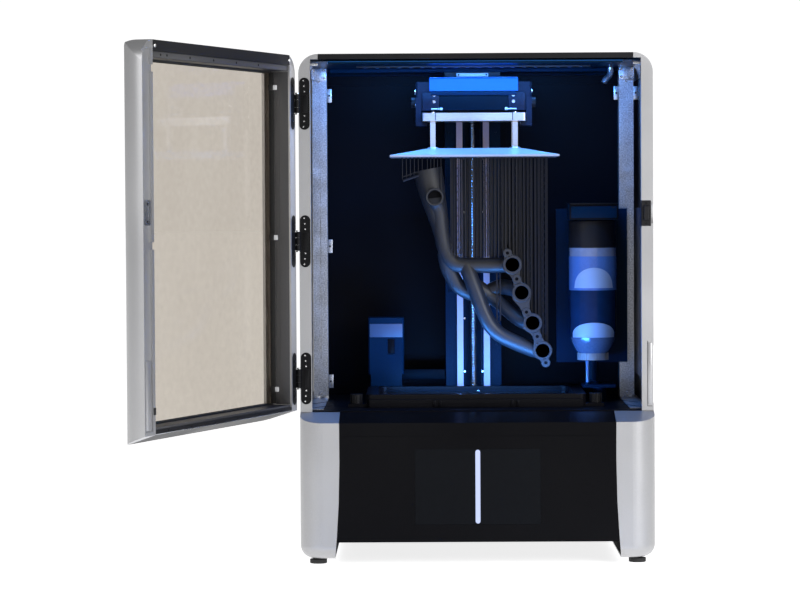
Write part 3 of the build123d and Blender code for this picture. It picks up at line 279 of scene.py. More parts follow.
NODE_FINISH = {
    silver: ["base_side_left", "base_side_right", "side_panel_left", "side_panel_right",
             "door_rail_free", "door_rail_hinge"],
    silver_post: ["chamber_posts"],
    cover_black: ["top_cover", "door_top_bar", "door_bottom_bar"],
    fascia_black: ["front_band", "front_fascia"],
    chamber_black: ["rear_wall", "deck_plate"],
    panel_painted_blue_light: ["bottle_holder", "dispenser_base", "level_sensor"],
    column_metal_painted_blue_light: ["z_column"],
    frame_black: ["base_chassis", "rear_cover", "light_engine", "power_supply",
                  "top_bracket", "carriage_plate"],
    screen_glass: ["touchscreen"],
    mask_glass: ["mask_screen"],
    glow_bar: ["status_light_bar"],
    rubber: ["foot_front_left", "foot_front_right", "foot_rear_left", "foot_rear_right"],
    aluminium: ["platform_bridge"],
    anodised: ["arm_block", "platform_hooks"],
    painted_blue_light: ["arm_cover"],
    plate_metal: ["build_plate"],
    rail_steel_painted_purple_light: ["linear_rails"],
    steel: ["lead_screw", "hinge_pins", "strike_plate"],
    oxide_black: ["body_hinge_leaves", "door_hinge_leaves", "z_motor"],
    plastic: ["latch_housing", "latch_plunger", "power_inlet", "power_rocker",
              "exhaust_fan_frame", "fan_rotor", "clamp_knob_left", "clamp_knob_right",
              "vat_knob_left", "vat_knob_right"],
    vat_black: ["vat_frame"],
    film_clear: ["vat_film"],
    bottle_dark: ["resin_bottle"],
    cap_grey: ["bottle_cap"],
    tube_clear_painted_blue_glow: ["feed_tube"],
    window_tint: ["door_window"],
    circuit_green: ["control_board"],
}
for surface, names in NODE_FINISH.items():
    for name in names:
        for material_slot in nodes[name].material_slots:
            material_slot.material = surface

# ---------------------------------------------------------------- mesh helpers


class Shape:
    """A mesh being built in millimetres.  paint is the material number of new faces."""

    def __init__(self):
        self.bm = bmesh.new()
        self.paint = 0

    def painted(self, faces):
        """Gives faces the current material number."""
        for face in faces:
            face.material_index = self.paint

    def loft(self, rings):
        """Joins rings of equal length into a skin with flat ends."""
        made = []
        count = len(rings[0])
        for one, two in zip(rings, rings[1:]):
            for j in range(count):
                k = (j + 1) % count
                made.append(self.bm.faces.new((one[j], one[k], two[k], two[j])))
        made.append(self.bm.faces.new(rings[0][::-1]))
        made.append(self.bm.faces.new(rings[-1]))
        self.painted(made)

    def box(self, x0, x1, y0, y1, z0, z1, edge=0.0, turn=None):
        """A box with bevelled edges; turn is a matrix applied to it."""
        made = bmesh.ops.create_cube(self.bm, size=1.0)["verts"]
        size = Matrix.Diagonal((x1 - x0, y1 - y0, z1 - z0, 1.0))
        place = Matrix.Translation(((x0 + x1) / 2, (y0 + y1) / 2, (z0 + z1) / 2)) @ size
        bmesh.ops.transform(self.bm, matrix=(turn or Matrix()) @ place, verts=made)
        faces = {face for vert in made for face in vert.link_faces}
        self.painted(faces)
        if edge > 0:
            edges = {line for vert in made for line in vert.link_edges}
            result = bmesh.ops.bevel(self.bm, geom=list(edges), offset=edge, segments=2,
                                     profile=0.5, affect="EDGES")
            self.painted(result["faces"])

    def prism(self, outline, y0, y1):
        """An outline of (x, z) points extruded from y0 to y1."""
        self.loft([[self.bm.verts.new((x, y, z)) for x, z in outline] for y in (y0, y1)])

    def turned(self, profile, centre, along, sides=32):
        """A profile of (distance, radius) pairs turned about an axis through centre."""
        axis = Vector(along).normalized()
        seed = Vector((0, 0, 1)) if abs(axis.z) < 0.9 else Vector((1, 0, 0))
        u = axis.cross(seed).normalized()
        v = axis.cross(u)
        rings = []
        for distance, radius in profile:
            ring = []
            for i in range(sides):
                angle = 2 * math.pi * i / sides
                point = Vector(centre) + axis * distance + (u * math.cos(angle)
                                                           + v * math.sin(angle)) * radius
                ring.append(self.bm.verts.new(point))
            rings.append(ring)
        self.loft(rings)

    def tube(self, path, radius, sides=14):
        """A round bar along a path of points; radius is a number or one per point."""
        points = [Vector(p) for p in path]
        radii = radius if isinstance(radius, (list, tuple)) else [radius] * len(points)
        tangent = (points[1] - points[0]).normalized()
        seed = Vector((0, 1, 0)) if abs(tangent.y) < 0.9 else Vector((1, 0, 0))
        normal = tangent.cross(seed).normalized()
        rings = []
        for i, point in enumerate(points):
            before = points[max(i - 1, 0)]
            after = points[min(i + 1, len(points) - 1)]
            tangent = (after - before).normalized()
            normal = (normal - tangent * normal.dot(tangent)).normalized()
            side = tangent.cross(normal)
            ring = []
            for j in range(sides):
                angle = 2 * math.pi * j / sides
                offset = normal * math.cos(angle) + side * math.sin(angle)
                ring.append(self.bm.verts.new(point + offset * radii[i]))
            rings.append(ring)
        self.loft(rings)

    def screw(self, centre, along, r, height=1.6):
        """A socket-head screw whose seat is at centre and whose head points along."""
        deep = height * 0.45
        self.turned([(0, r), (height * 0.75, r), (height, r * 0.85), (height, r * 0.5),
                     (height - deep, r * 0.5 * 0.9), (height - deep, r * 0.02)],
                    centre, along, sides=18)


def piece(shape, name, surfaces, body, place=None, smooth=38):
    """Turns a shape into an object in metres that rides on a body."""
    bmesh.ops.recalc_face_normals(shape.bm, faces=shape.bm.faces)
    bmesh.ops.scale(shape.bm, vec=(MM, MM, MM), verts=shape.bm.verts)
    if place is not None:
        bmesh.ops.transform(shape.bm, matrix=place, verts=shape.bm.verts)
    mesh = bpy.data.meshes.new(name)
    shape.bm.to_mesh(mesh)
    shape.bm.free()
    made = bpy.data.objects.new(name, mesh)
    bpy.context.collection.objects.link(made)
    for surface in surfaces if isinstance(surfaces, (list, tuple)) else [surfaces]:
        mesh.materials.append(surface)
    mesh.shade_smooth()
    mesh.set_sharp_from_angle(angle=math.radians(smooth))
    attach(made, body)
    return made


def curve_through(points, steps=6):
    """A smooth path through control points (Catmull-Rom)."""
    pts = [Vector(p) for p in points]
    pts = [pts[0] * 2 - pts[1]] + pts + [pts[-1] * 2 - pts[-2]]
    path = []
    for i in range(1, len(pts) - 2):
        a, b, c, d = pts[i - 1:i + 3]
        for j in range(steps):
            t = j / steps
            path.append(0.5 * ((2 * b) + (c - a) * t + (2 * a - 5 * b + 4 * c - d) * t ** 2
                               + (3 * b - a - 3 * c + d) * t ** 3))
    path.append(pts[-2])
    return path


SIDES = (-1, 1)


def span(side, a, b):
    """a to b on the right side, or mirrored on the left, in rising order."""
    return sorted((side * a, side * b))


# ---------------------------------------------------------------- camera

CAMERA_AT = Vector((-0.086, -5.04, 0.609))
CAMERA_TOWARDS = Vector((-25.8, 2972.0, -97.0))  # a direction, not a place
CAMERA_ROLL = math.radians(-0.32)
SENSOR = 36.0
FOCAL = 133.74

eye = bpy.data.cameras.new("camera")
eye.sensor_width = SENSOR
eye.lens = FOCAL
eye.clip_end = 200
camera = bpy.data.objects.new("camera", eye)
bpy.context.collection.objects.link(camera)
camera.location = CAMERA_AT
camera.rotation_mode = "QUATERNION"
aim = CAMERA_TOWARDS.to_track_quat("-Z", "Y")
camera.rotation_quaternion = aim @ Quaternion((0, 0, 1), CAMERA_ROLL)
bpy.context.scene.camera = camera

# ---------------------------------------------------------------- studio


def softbox(name, location, target, size, power, color=(1.0, 1.0, 1.0)):
    """An area light that faces its target."""
    lamp = bpy.data.lights.new(name, "AREA")
    lamp.shape = "RECTANGLE"
    lamp.size, lamp.size_y = size
    lamp.energy = power
    lamp.color = color
    made = bpy.data.objects.new(name, lamp)
    bpy.context.collection.objects.link(made)
    made.location = location
    aim_at = Vector(target) - Vector(location)
    made.rotation_euler = aim_at.to_track_quat("-Z", "Y").to_euler()


WORLD_LIGHT = 0.31
BACKDROP_LIGHT = 1.05  # what the camera sees, straight on or through the window
world = bpy.data.worlds.new("studio")
world.use_nodes = True
bpy.context.scene.world = world
sky = world.node_tree.nodes["Background"]
sky.inputs["Color"].default_value = (1.0, 1.0, 1.0, 1.0)
sky.inputs["Strength"].default_value = WORLD_LIGHT
backdrop = world.node_tree.nodes.new("ShaderNodeBackground")
backdrop.inputs["Color"].default_value = (1.0, 1.0, 1.0, 1.0)
backdrop.inputs["Strength"].default_value = BACKDROP_LIGHT
seen = world.node_tree.nodes.new("ShaderNodeLightPath")
either = world.node_tree.nodes.new("ShaderNodeMath")
either.operation = "MAXIMUM"
world.node_tree.links.new(seen.outputs["Is Camera Ray"], either.inputs[0])
world.node_tree.links.new(seen.outputs["Is Transmission Ray"], either.inputs[1])
choice = world.node_tree.nodes.new("ShaderNodeMixShader")
world.node_tree.links.new(either.outputs["Value"], choice.inputs["Fac"])
world.node_tree.links.new(sky.outputs["Background"], choice.inputs[1])
world.node_tree.links.new(backdrop.outputs["Background"], choice.inputs[2])
world.node_tree.links.new(choice.outputs["Shader"],
                          world.node_tree.nodes["World Output"].inputs["Surface"])
bpy.context.scene.view_settings.view_transform = "Standard"

softbox("key_right", (1.7, -2.2, 1.3), (0.2, 0.0, 0.4), (1.2, 1.4), 44)
softbox("key_left", (-2.4, -2.2, 1.5), (-0.3, -0.3, 0.4), (1.2, 1.4), 14)

LED_BLUE = (0.07, 0.31, 1.0)
softbox("led_front", (0.0, 0.06, 0.842), (0.0, 0.20, 0.50), (0.44, 0.02), 3.6, LED_BLUE)
softbox("led_rear", (0.0, 0.215, 0.845), (0.0, 0.26, 0.50), (0.44, 0.02), 1.4, LED_BLUE)
softbox("led_low", (0.0, 0.14, 0.285), (0.03, 0.22, 0.50), (0.32, 0.04), 2.5, LED_BLUE)

floor_mesh = bpy.data.meshes.new("floor")
FLOOR_R = 60.0
floor_shape = bmesh.new()
bmesh.ops.create_grid(floor_shape, x_segments=8, y_segments=8, size=FLOOR_R)
floor_shape.to_mesh(floor_mesh)
floor_shape.free()
floor = bpy.data.objects.new("floor", floor_mesh)
bpy.context.collection.objects.link(floor)
floor_mesh.materials.append(floor_pale)

# ---------------------------------------------------------------- chamber lining

WALL_IN = 296.9
CEILING_Z = 850.0
WALL_Y0, WALL_Y1 = 20.5, 439.5

liners = Shape()
for side in SIDES:
    x0, x1 = span(side, WALL_IN - 0.8, WALL_IN)
    liners.box(x0, x1, WALL_Y0, WALL_Y1, 257, 828)
liners.box(-284, 284, 437, 439.4, 826, CEILING_Z)
piece(liners, "wall_liners", chamber_black, PRINTER)

lower_panel = Shape()
lower_panel.box(292.6, 295.8, 40, 330, 300, 598, edge=0.6)
for z in (330, 552, 585):
    lower_panel.screw((292.6, 60, z), (-1, 0, 0), 3.0)
piece(lower_panel, "right_lower_panel", panel_painted_blue_light, PRINTER)

ceiling = Shape()
ceiling.box(-284, 284, 13, WALL_Y1, CEILING_Z, CEILING_Z + 0.9)
ceiling.box(-256, 256, 312, 324, 843.5, CEILING_Z, edge=0.6)
ceiling.box(-262, 262, 424, WALL_Y1, 842, CEILING_Z, edge=0.6)
ceiling.box(-250, 250, 14, 26, 846, CEILING_Z, edge=0.6)
# painted highlight: a thin bright blue strip along the lower front edge of the ceiling
ceiling.paint = 1
ceiling.box(-250, 250, 13.6, 14, 848.6, 849.8)
piece(ceiling, "ceiling_panel", [panel_painted_blue_light, painted_blue_light], PRINTER)

strips = Shape()
for y in (34, 205):
    strips.paint = 0
    strips.box(-206, 206, y, y + 16, CEILING_Z - 2.4, CEILING_Z, edge=0.5)
    strips.paint = 1
    for i in range(20):
        x = -190 + i * 20
        strips.box(x - 3, x + 3, y + 5, y + 11, CEILING_Z - 3.4, CEILING_Z - 2.4, edge=0.3)
piece(strips, "ceiling_led_strips", [frame_black, glow_blue], PRINTER)

# the two posts' ears, ceiling ties and feet
POST_Y = 300.0
POST_X0, POST_X1 = 262.0, 288.0
ears = Shape()
for side, inner_x, outer_x, z in ((-1, 253.0, POST_X0, 802.0), (-1, 253.0, POST_X0, 532.0),
                                  (-1, 253.0, POST_X0, 289.0), (1, 253.0, POST_X0, 804.0),
                                  (1, POST_X1, 296.0, 804.0)):
    x0, x1 = span(side, inner_x, outer_x)
    ears.paint = 0
    ears.box(x0, x1, POST_Y, POST_Y + 2, z - 12, z + 12, edge=0.4)
    # painted shade: a flat black disc stands in for each ear's hole
    ears.paint = 1
    ears.turned([(0, 1.9), (0.3, 1.9), (0.3, 0.1)], ((x0 + x1) / 2, POST_Y, z), (0, -1, 0),
                sides=14)
piece(ears, "post_ears", [silver_post, gasket], PRINTER)

ties = Shape()
for side in SIDES:
    x0, x1 = span(side, 262, 289)
    ties.paint = 0
    ties.box(x0, x1, 296, 330, 828.5, CEILING_Z, edge=0.5)
    ties.box(*span(side, 268, 283), 20.5, 40, 843, 847.5, edge=0.5)
    ties.paint = 1
    for dx, z in ((266, 833), (285, 833), (266, 846), (285, 846)):
        ties.screw((side * dx, 296, z), (0, -1, 0), 2.3, 1.4)
    ties.screw((side * 275.5, POST_Y, 826), (0, -1, 0), 2.6, 1.6)
piece(ties, "post_ties", [silver_post, bright_steel], PRINTER)

post_feet = Shape()
for side in SIDES:
    x0, x1 = span(side, POST_X0, 289)
    post_feet.paint = 0
    post_feet.box(x0, x1, 30, 330, 256.2, 257.6, edge=0.3)
    post_feet.box(*span(side, POST_X0, 272.5), 295, 298, 257.6, 262.5, edge=0.3)
    post_feet.box(*span(side, 277.5, POST_X1), 295, 298, 257.6, 262.5, edge=0.3)
    post_feet.paint = 1
    for x, y in ((266, 90), (280, 60), (268, 200)):
        turn = (Matrix.Translation((side * x, y, 257.8)) @
                Matrix.Rotation(side * math.radians(24), 4, "Z"))
        post_feet.box(-1.2, 1.2, -40, 40, -0.4, 0.2, turn=turn)
    post_feet.paint = 2
    post_feet.screw((side * 275, POST_Y - 2, 268), (0, -1, 0), 2.6, 1.6)
    post_feet.screw((side * 286, 34, 262), (0, -1, 0), 2.6, 1.6)
piece(post_feet, "post_feet", [silver_post, gasket, bright_steel], PRINTER)

# a small cable elbow under the ceiling on the right
elbow = Shape()
elbow_path = curve_through([(247, 300, CEILING_Z), (247, 300, 842), (244, 298, 834),
                            (238, 296, 828), (235, 295, 822)], 5)
elbow.tube(elbow_path, 5.2, sides=16)
piece(elbow, "cable_elbow", silver_post, PRINTER)

# ---------------------------------------------------------------- column, rails and screw

column_low = node_box("z_column")[0]
RAIL_FRONT_Y = node_box("linear_rails")[0].y
screw_low, screw_high = node_box("lead_screw")
SCREW_Y = (screw_low.y + screw_high.y) / 2
column_fittings = Shape()
for side in SIDES:
    for i in range(6):
        column_fittings.paint = 0
        column_fittings.screw((side * 16.2, column_low.y, 304 + 96 * i), (0, -1, 0), 2.0,
                              1.8)
        column_fittings.paint = 1
        column_fittings.screw((side * 42, column_low.y, 352 + 96 * i), (0, -1, 0), 2.8, 1.8)
piece(column_fittings, "column_screws", [bright_steel, column_metal_painted_blue_light], PRINTER)

rail_plugs = Shape()
for side in SIDES:
    for i in range(14):
        rail_plugs.turned([(0, 2.6), (0.25, 2.4), (0.25, 0.1)],
                          (side * 24, RAIL_FRONT_Y, 280 + 40 * i), (0, -1, 0), sides=16)
piece(rail_plugs, "rail_plugs", rail_steel_painted_purple_light, PRINTER)

bar = Shape()
bar.box(-28.5, 28.5, 322, 326, 836, 842, edge=0.4)
piece(bar, "top_bracket_bar", white_plastic, PRINTER)
# painted shade: flat black discs stand in for the bar's two holes
bar_holes = Shape()
for side in SIDES:
    bar_holes.turned([(0, 1.7), (0.3, 1.7), (0.3, 0.1)], (side * 25, 322, 839), (0, -1, 0),
                     sides=14)
piece(bar_holes, "top_bracket_holes", gasket, PRINTER)

THREAD_LEAD = 10.0
THREAD_STARTS = 2
THREAD_CORE = 4.7
THREAD_TOP = 6.0
THREAD_SIDES = 16
THREAD_FROM = 241.0
THREAD_STEP = 0.85


def thread_radius(z, angle):
    """Radius of a two-start trapezoidal thread."""
    phase = (z / THREAD_LEAD - angle / (2 * math.pi)) * THREAD_STARTS % 1.0
    rise = min(max((0.5 - abs(phase - 0.5)) * 4 - 0.35, 0.0), 1.0)
    return THREAD_CORE + (THREAD_TOP - THREAD_CORE) * rise


thread = Shape()
thread_rings = []
thread_z = THREAD_FROM
while thread_z < screw_high.z - 0.5:
    ring = []
    for i in range(THREAD_SIDES):
        angle = 2 * math.pi * i / THREAD_SIDES
        r = thread_radius(thread_z, angle)
        ring.append(thread.bm.verts.new((r * math.cos(angle), SCREW_Y + r * math.sin(angle),
                                         thread_z)))
    thread_rings.append(ring)
    thread_z += THREAD_STEP
thread.loft(thread_rings)
thread.turned([(0, 3.1), (30, 3.1), (30, 12.0), (31, 13.0), (45, 13.0), (45, 12.2),
               (48, 12.2), (48, 13.0), (63.5, 13.0), (64.5, 12.0), (64.5, 5.0)],
              (0, SCREW_Y, 176), (0, 0, 1), sides=32)
screw_piece = piece(thread, "lead_screw_thread", steel, "lead_screw")
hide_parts("lead_screw")

# ---------------------------------------------------------------- arm and platform

ARM_FRONT = node_box("arm_block")[0].y
cheeks = Shape()
for side in SIDES:
    cheeks.paint = 0
    cheeks.box(*span(side, 61, 90), ARM_FRONT - 3.5, ARM_FRONT, 771, 803, edge=0.8)
    cheeks.paint = 1
    for z in (786.4, 797.8):
        cheeks.screw((side * 69.6, ARM_FRONT - 3.5, z), (0, -1, 0), 3.0, 1.8)
    cheeks.paint = 2
    cheeks.tube([(side * 75, ARM_FRONT - 5, 773.5), (side * 58, ARM_FRONT - 5, 773.5)], 1.5,
                sides=12)
    cheeks.turned([(0, 1.2), (1, 3.2), (5, 3.2), (6, 1.6)],
                  (side * 60, ARM_FRONT - 5, 773.5), (-side, 0, 0), sides=16)
piece(cheeks, "arm_cheeks", [anodised, bright_steel, aluminium], "carriage")

# painted shade: a dark flange under the arm cover and a near-black plate on the arm front below
# it
arm_trim = Shape()
arm_trim.box(-75, 75, ARM_FRONT - 6, ARM_FRONT, 797, 804.6, edge=0.8)
arm_trim.paint = 1
arm_trim.box(-60.5, 60.5, ARM_FRONT - 2, ARM_FRONT, 771.5, 796.8, edge=0.8)
arm_trim.paint = 0
for x in (-40, 0, 40):
    arm_trim.screw((x, ARM_FRONT - 6, 800.8), (0, -1, 0), 1.8, 0.8)
piece(arm_trim, "arm_front_trim", [panel_painted_blue_light, painted_blue_shade], "carriage")

arm_sides = Shape()
for side in SIDES:
    arm_sides.screw((side * 101.5, 205, 805), (side, 0, 0), 3.2, 2.4)
    arm_sides.screw((side * 101.5, 262, 805), (side, 0, 0), 3.2, 2.4)
    arm_sides.screw((side * 101.5, 262, 783), (side, 0, 0), 3.2, 2.4)
piece(arm_sides, "arm_side_screws", bright_steel, "carriage")

bridge_low, bridge_high = node_box("platform_bridge")
bridge_trim = Shape()
for side in SIDES:
    bridge_trim.paint = 0
    bridge_trim.box(*span(side, 66.8, 68.2), bridge_low.y - 0.4, bridge_low.y + 30,
                    753, 766.4)
    bridge_trim.paint = 1
    for y in (173, 237):
        bridge_trim.screw((side * 72, y, bridge_high.z), (0, 0, 1), 4.2, 2.4)
piece(bridge_trim, "bridge_joints", [gasket, bright_steel], "platform")

plate_low, plate_high = node_box("build_plate")
collars = Shape()
for x in (-72, 72):
    for y in (173, 237):
        collars.turned([(0, 9.5), (1.6, 9.1), (2.4, 8.0), (2.4, 6.6)], (x, y, plate_high.z),
                       (0, 0, 1), sides=28)
piece(collars, "post_collars", aluminium, "platform")

# ---------------------------------------------------------------- printed workpiece

PART_TOP = plate_low.z
FLANGE_Y0, FLANGE_Y1 = 186.0, 195.0
PORTS = [(66.6, 499.5), (82.6, 450.3), (101.9, 396.8), (119.2, 348.0)]
BOLTS = [(58.1, 520.0), (74.1, 474.2), (91.0, 415.8), (109.8, 372.9), (124.6, 326.6)]
OUTLET = (-69.3, 619.0)
PIPE_R = 13.6
PIPES = [
    [(-69, 195, 619), (-68, 206, 612), (-62, 213, 594), (-56.5, 215, 550),
     (-49, 215, 520), (-36, 215, 503), (-18, 215, 498.5), (6, 215, 498), (40, 214, 498),
     (58, 208, 499), (66, 195, 499.5)],
    [(-52, 218, 522), (-47, 224, 497), (-38, 228, 477), (-27, 230, 461), (-6, 234, 449),
     (22, 236, 450), (46, 230, 459), (66, 218, 457), (80, 204, 452), (82.6, 194, 450.3)],
    [(-14, 214, 497), (-9, 211, 484), (-4, 209, 470), (5, 207, 446), (15, 206, 419),
     (28, 206, 393), (46, 206, 375), (76, 206, 360), (104, 204, 349), (117, 198, 348),
     (119.2, 192, 348)],
    [(2, 226, 462), (22, 232, 448), (44, 232, 433), (64, 226, 415), (84, 214, 400),
     (97, 204, 397), (101.9, 193, 396.8)],
]

workpiece = Shape()
for route in PIPES:  # the four pipes, then the flange with its ports and bolt lugs
    workpiece.tube(curve_through(route, 6), PIPE_R, sides=22)
for x, z in PORTS:
    workpiece.turned([(0, 17.2), (-1.2, 16.2), (-1.2, 12.6), (0, 12.0), (8.4, 11.6),
                      (8.4, 0.1)], (x, FLANGE_Y0, z), (0, 1, 0), sides=36)
for first, second in zip(BOLTS, BOLTS[1:]):
    dx, dz = second[0] - first[0], second[1] - first[1]
    length = math.hypot(dx, dz)
    nx, nz = -dz / length, dx / length
    outline = []
    for t, half in ((0.0, 6.5), (0.2, 9.0), (0.45, 16.5), (0.55, 16.5), (0.8, 9.0),
                    (1.0, 6.5)):
        outline.append((first[0] + dx * t + nx * half, first[1] + dz * t + nz * half))
    for t, half in ((1.0, -6.5), (0.8, -9.0), (0.55, -16.5), (0.45, -16.5), (0.2, -9.0),
                    (0.0, -6.5)):
        outline.append((first[0] + dx * t + nx * half, first[1] + dz * t + nz * half))
    workpiece.prism(outline, FLANGE_Y0, FLANGE_Y1)
for x, z in BOLTS:
    workpiece.turned([(0, 8.2), (-1.2, 7.4), (-1.2, 3.0), (6, 2.8), (6, 0.1)],
                     (x, FLANGE_Y0, z), (0, 1, 0), sides=24)
workpiece.turned([(12, 15.2), (0, 15.9), (-1, 15.2), (-1, 12.6), (4, 12.0), (9, 11.6),
                  (9, 0.1)], (OUTLET[0], FLANGE_Y0, OUTLET[1]), (0, 1, 0), sides=36)
# a tapered branch that ends behind the outlet
workpiece.tube(curve_through([(-82, 222, 668), (-78, 222, 648), (-70, 222, 610),
                              (-60, 219, 570), (-56, 216, 545)], 1),
               [26, 25, 21, 16, 12.5], sides=26)
# painted shade: near-black discs inside the outlet and the bolt holes
workpiece.paint = 1
workpiece.turned([(0, 11.5), (0.3, 11.4), (0.3, 0.1)],
                 (OUTLET[0], FLANGE_Y0 + 8.6, OUTLET[1]), (0, -1, 0), sides=36)
for x, z in BOLTS:
    workpiece.turned([(0, 3.0), (0.25, 2.9), (0.25, 0.1)], (x, FLANGE_Y0 + 0.1, z),
                     (0, -1, 0), sides=20)
printed = piece(workpiece, "printed_manifold", [resin_grey, chamber_black], "platform",
                smooth=45)

STRUT_R = 0.7
BRACE_R = 0.3
BRACE_PITCH = 7.0
BRACED_ROW = 4
ROW_PITCH = 6.4
ROWS_FROM, ROWS_TO = -41.0, 128.0
LOWEST_STRUT = 352.0
supports = Shape()


def strut(x, y, bottom):
    """One upright support with a pointed tip and a small foot on the plate."""
    supports.tube([(x, y, bottom), (x, y, bottom + 4), (x, y, PART_TOP - 3),
                   (x, y, PART_TOP - 0.1)], [0.3, STRUT_R, STRUT_R, 1.8], sides=5)


def part_top_at(x):
    """Height of the printed part under a support at x."""
    if x < 58:
        return 511.0
    return 520.0 - (x - 58) * 2.9 + 18.0


x = ROWS_FROM
row = 0
while x < ROWS_TO:
    for rank, y in enumerate((196, 208, 220, 232)):
        shift = 1.6 * rank + rng.uniform(-0.5, 0.5)
        bottom = max(part_top_at(x + shift), LOWEST_STRUT) + (y - 205) * 0.02
        strut(x + shift, y + rng.uniform(-2, 2), bottom)
    # zigzag bracing on one row in four
    z = PART_TOP - 12
    bottom = max(part_top_at(x), LOWEST_STRUT) + 8
    flip = row % 2
    while row % BRACED_ROW == 1 and z - BRACE_PITCH > bottom:
        x0, x1 = (x, x + 6.2) if flip else (x + 6.2, x)
        supports.tube([(x0, 204, z), (x1, 204, z - BRACE_PITCH)], BRACE_R, sides=4)
        z -= BRACE_PITCH
        flip = 1 - flip
    x += ROW_PITCH
    row += 1
# supports and a raft bar at the left end of the part
for x in (-126, -119, -112, -105, -98, -91):
    strut(x, 205, 649 + (x + 124) * 0.33 + 2)
supports.tube([(-125, 205, 648), (-88, 205, 660.5)], 2.2, sides=8)
supports.tube([(-125, 205, 655), (-88, 205, 667)], 1.0, sides=6)
for x in (-82, -76, -70, -64, -58):
    strut(x, 202, 634 - abs(x + 70) * 0.3)
# a small ladder inside the lowest loop of pipe
for x in (39.5, 45.5):
    supports.tube([(x, 209, 400), (x, 209, 486)], 1.3, sides=8)
for i in range(7):
    z = 404 + i * 12
    supports.tube([(39.5, 209, z), (45.5, 209, z + 6)], 0.6, sides=4)
supports.tube([(28, 207, 404), (45, 208, 398)], 1.0, sides=6)
support_piece = piece(supports, "print_supports", support_grey, "platform")
for soft in (printed, support_piece):
    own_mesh(soft)

# ---------------------------------------------------------------- vat

vat_trim = Shape()
vat_trim.box(-169.6, 169.6, 300.4, 302.2, 270.4, 271.4)
vat_trim.paint = 1
vat_trim.box(5, 11, 299.9, 300.5, 270.2, 271.6)
piece(vat_trim, "vat_level_line", [column_metal_painted_blue_light, steel], "vat")

vat_grips = Shape()
for side in SIDES:
    vat_grips.box(*span(side, 60, 64), 71, 74.2, 258, 269, edge=0.6)
    vat_grips.box(*span(side, 70, 74), 71, 74.2, 258, 269, edge=0.6)
piece(vat_grips, "vat_front_ribs", vat_black, "vat")

# ---------------------------------------------------------------- level sensor and holder

sensor_low, sensor_high = node_box("level_sensor")
sensor = Shape()
sensor.box(sensor_low.x + 2.5, sensor_high.x - 2.5, sensor_low.y - 0.6, sensor_low.y,
           367, 391, edge=0.25)
sensor.paint = 1
SENSOR_WIDE = sensor_high.x - sensor_low.x
sensor.box(sensor_low.x + 0.55 * SENSOR_WIDE, sensor_low.x + 0.73 * SENSOR_WIDE,
           sensor_low.y - 0.5, sensor_low.y, 338, 363, edge=0.2)
piece(sensor, "sensor_front", [sensor_label_painted_blue_light, chamber_black], PRINTER)

# the bracket's near-black blue is painted shade and painted blue light
bracket = Shape()
bracket.box(-134, -52, 330, 336, 290, 308, edge=1.0)
piece(bracket, "rear_bracket", painted_blue_shade, PRINTER)

bottle_low, bottle_high = node_box("resin_bottle")
BOTTLE_X = (bottle_low.x + bottle_high.x) / 2
BOTTLE_Y = (bottle_low.y + bottle_high.y) / 2
BOTTLE_R = (bottle_high.x - bottle_low.x) / 2
HEAD_Z0 = 576.8

head = Shape()
head.box(BOTTLE_X - 43, BOTTLE_X + 43, 193, 196.9, HEAD_Z0 + 1.2, 606, edge=0.5)
head.paint = 1
head.box(BOTTLE_X - 40, BOTTLE_X + 40, 192.2, 193, HEAD_Z0 + 4, 601, edge=0.3)
head.paint = 2
head.box(BOTTLE_X - 41, BOTTLE_X + 41, 191.6, 197, 605, 607, edge=0.4)
head.box(BOTTLE_X + 31, BOTTLE_X + 38, 191.6, 193, 598.4, 600.2, edge=0.2)
piece(head, "bottle_head_front", [fascia_black, panel_painted_blue_light, oxide_black], PRINTER)

# ---------------------------------------------------------------- bottle

SHOULDER_RISE = 44.0  # from the neck to the straight wall
NECK_R = 26.0
CLEAR_FROM = 369.0  # the pale shoulder ends and the wall begins
SLEEVE_FROM = 453.0
BANDS = [  # (upper height, material number)
    (SLEEVE_FROM, 0), (513.0, 2), (528.0, 1), (576.4, 3),
]


def bottle_radius(z):
    """Radius of the upside-down bottle at height z: rounded shoulder, straight wall."""
    neck, straight = bottle_low.z, bottle_low.z + SHOULDER_RISE
    if z >= straight:
        return BOTTLE_R
    t = (z - neck) / (straight - neck)
    return NECK_R + (BOTTLE_R - NECK_R) * math.sin(t * math.pi / 2) ** 0.8


bottle = Shape()
heights = [bottle_low.z + SHOULDER_RISE * i / 14 for i in range(15)]
bottle.paint = 4
shoulder = [(z, bottle_radius(z)) for z in heights if z < CLEAR_FROM]
shoulder += [(CLEAR_FROM, bottle_radius(CLEAR_FROM))]
bottle.turned([(bottle_low.z, 0.1)] + shoulder, (BOTTLE_X, BOTTLE_Y, 0), (0, 0, 1),
              sides=56)
wall = [(z, bottle_radius(z)) for z in heights if z > CLEAR_FROM]
wall += [(SLEEVE_FROM, BOTTLE_R)]
bottle.paint = 0
bottle.turned([(CLEAR_FROM, bottle_radius(CLEAR_FROM))] + wall, (BOTTLE_X, BOTTLE_Y, 0),
              (0, 0, 1), sides=56)
for (z0, _), (z1, paint) in zip(BANDS, BANDS[1:]):
    bottle.paint = paint
    extra = 0.35 if paint == 2 else 0.0
    top = [(z1, BOTTLE_R + extra)]
    if (z1, paint) == BANDS[-1]:  # the rounded upper end
        top = [(z1 - 3, BOTTLE_R), (z1 - 0.9, BOTTLE_R - 0.9), (z1, BOTTLE_R - 3), (z1, 0.1)]
    bottle.turned([(z0, BOTTLE_R - 1), (z0, BOTTLE_R + extra)] + top,
                  (BOTTLE_X, BOTTLE_Y, 0), (0, 0, 1), sides=56)


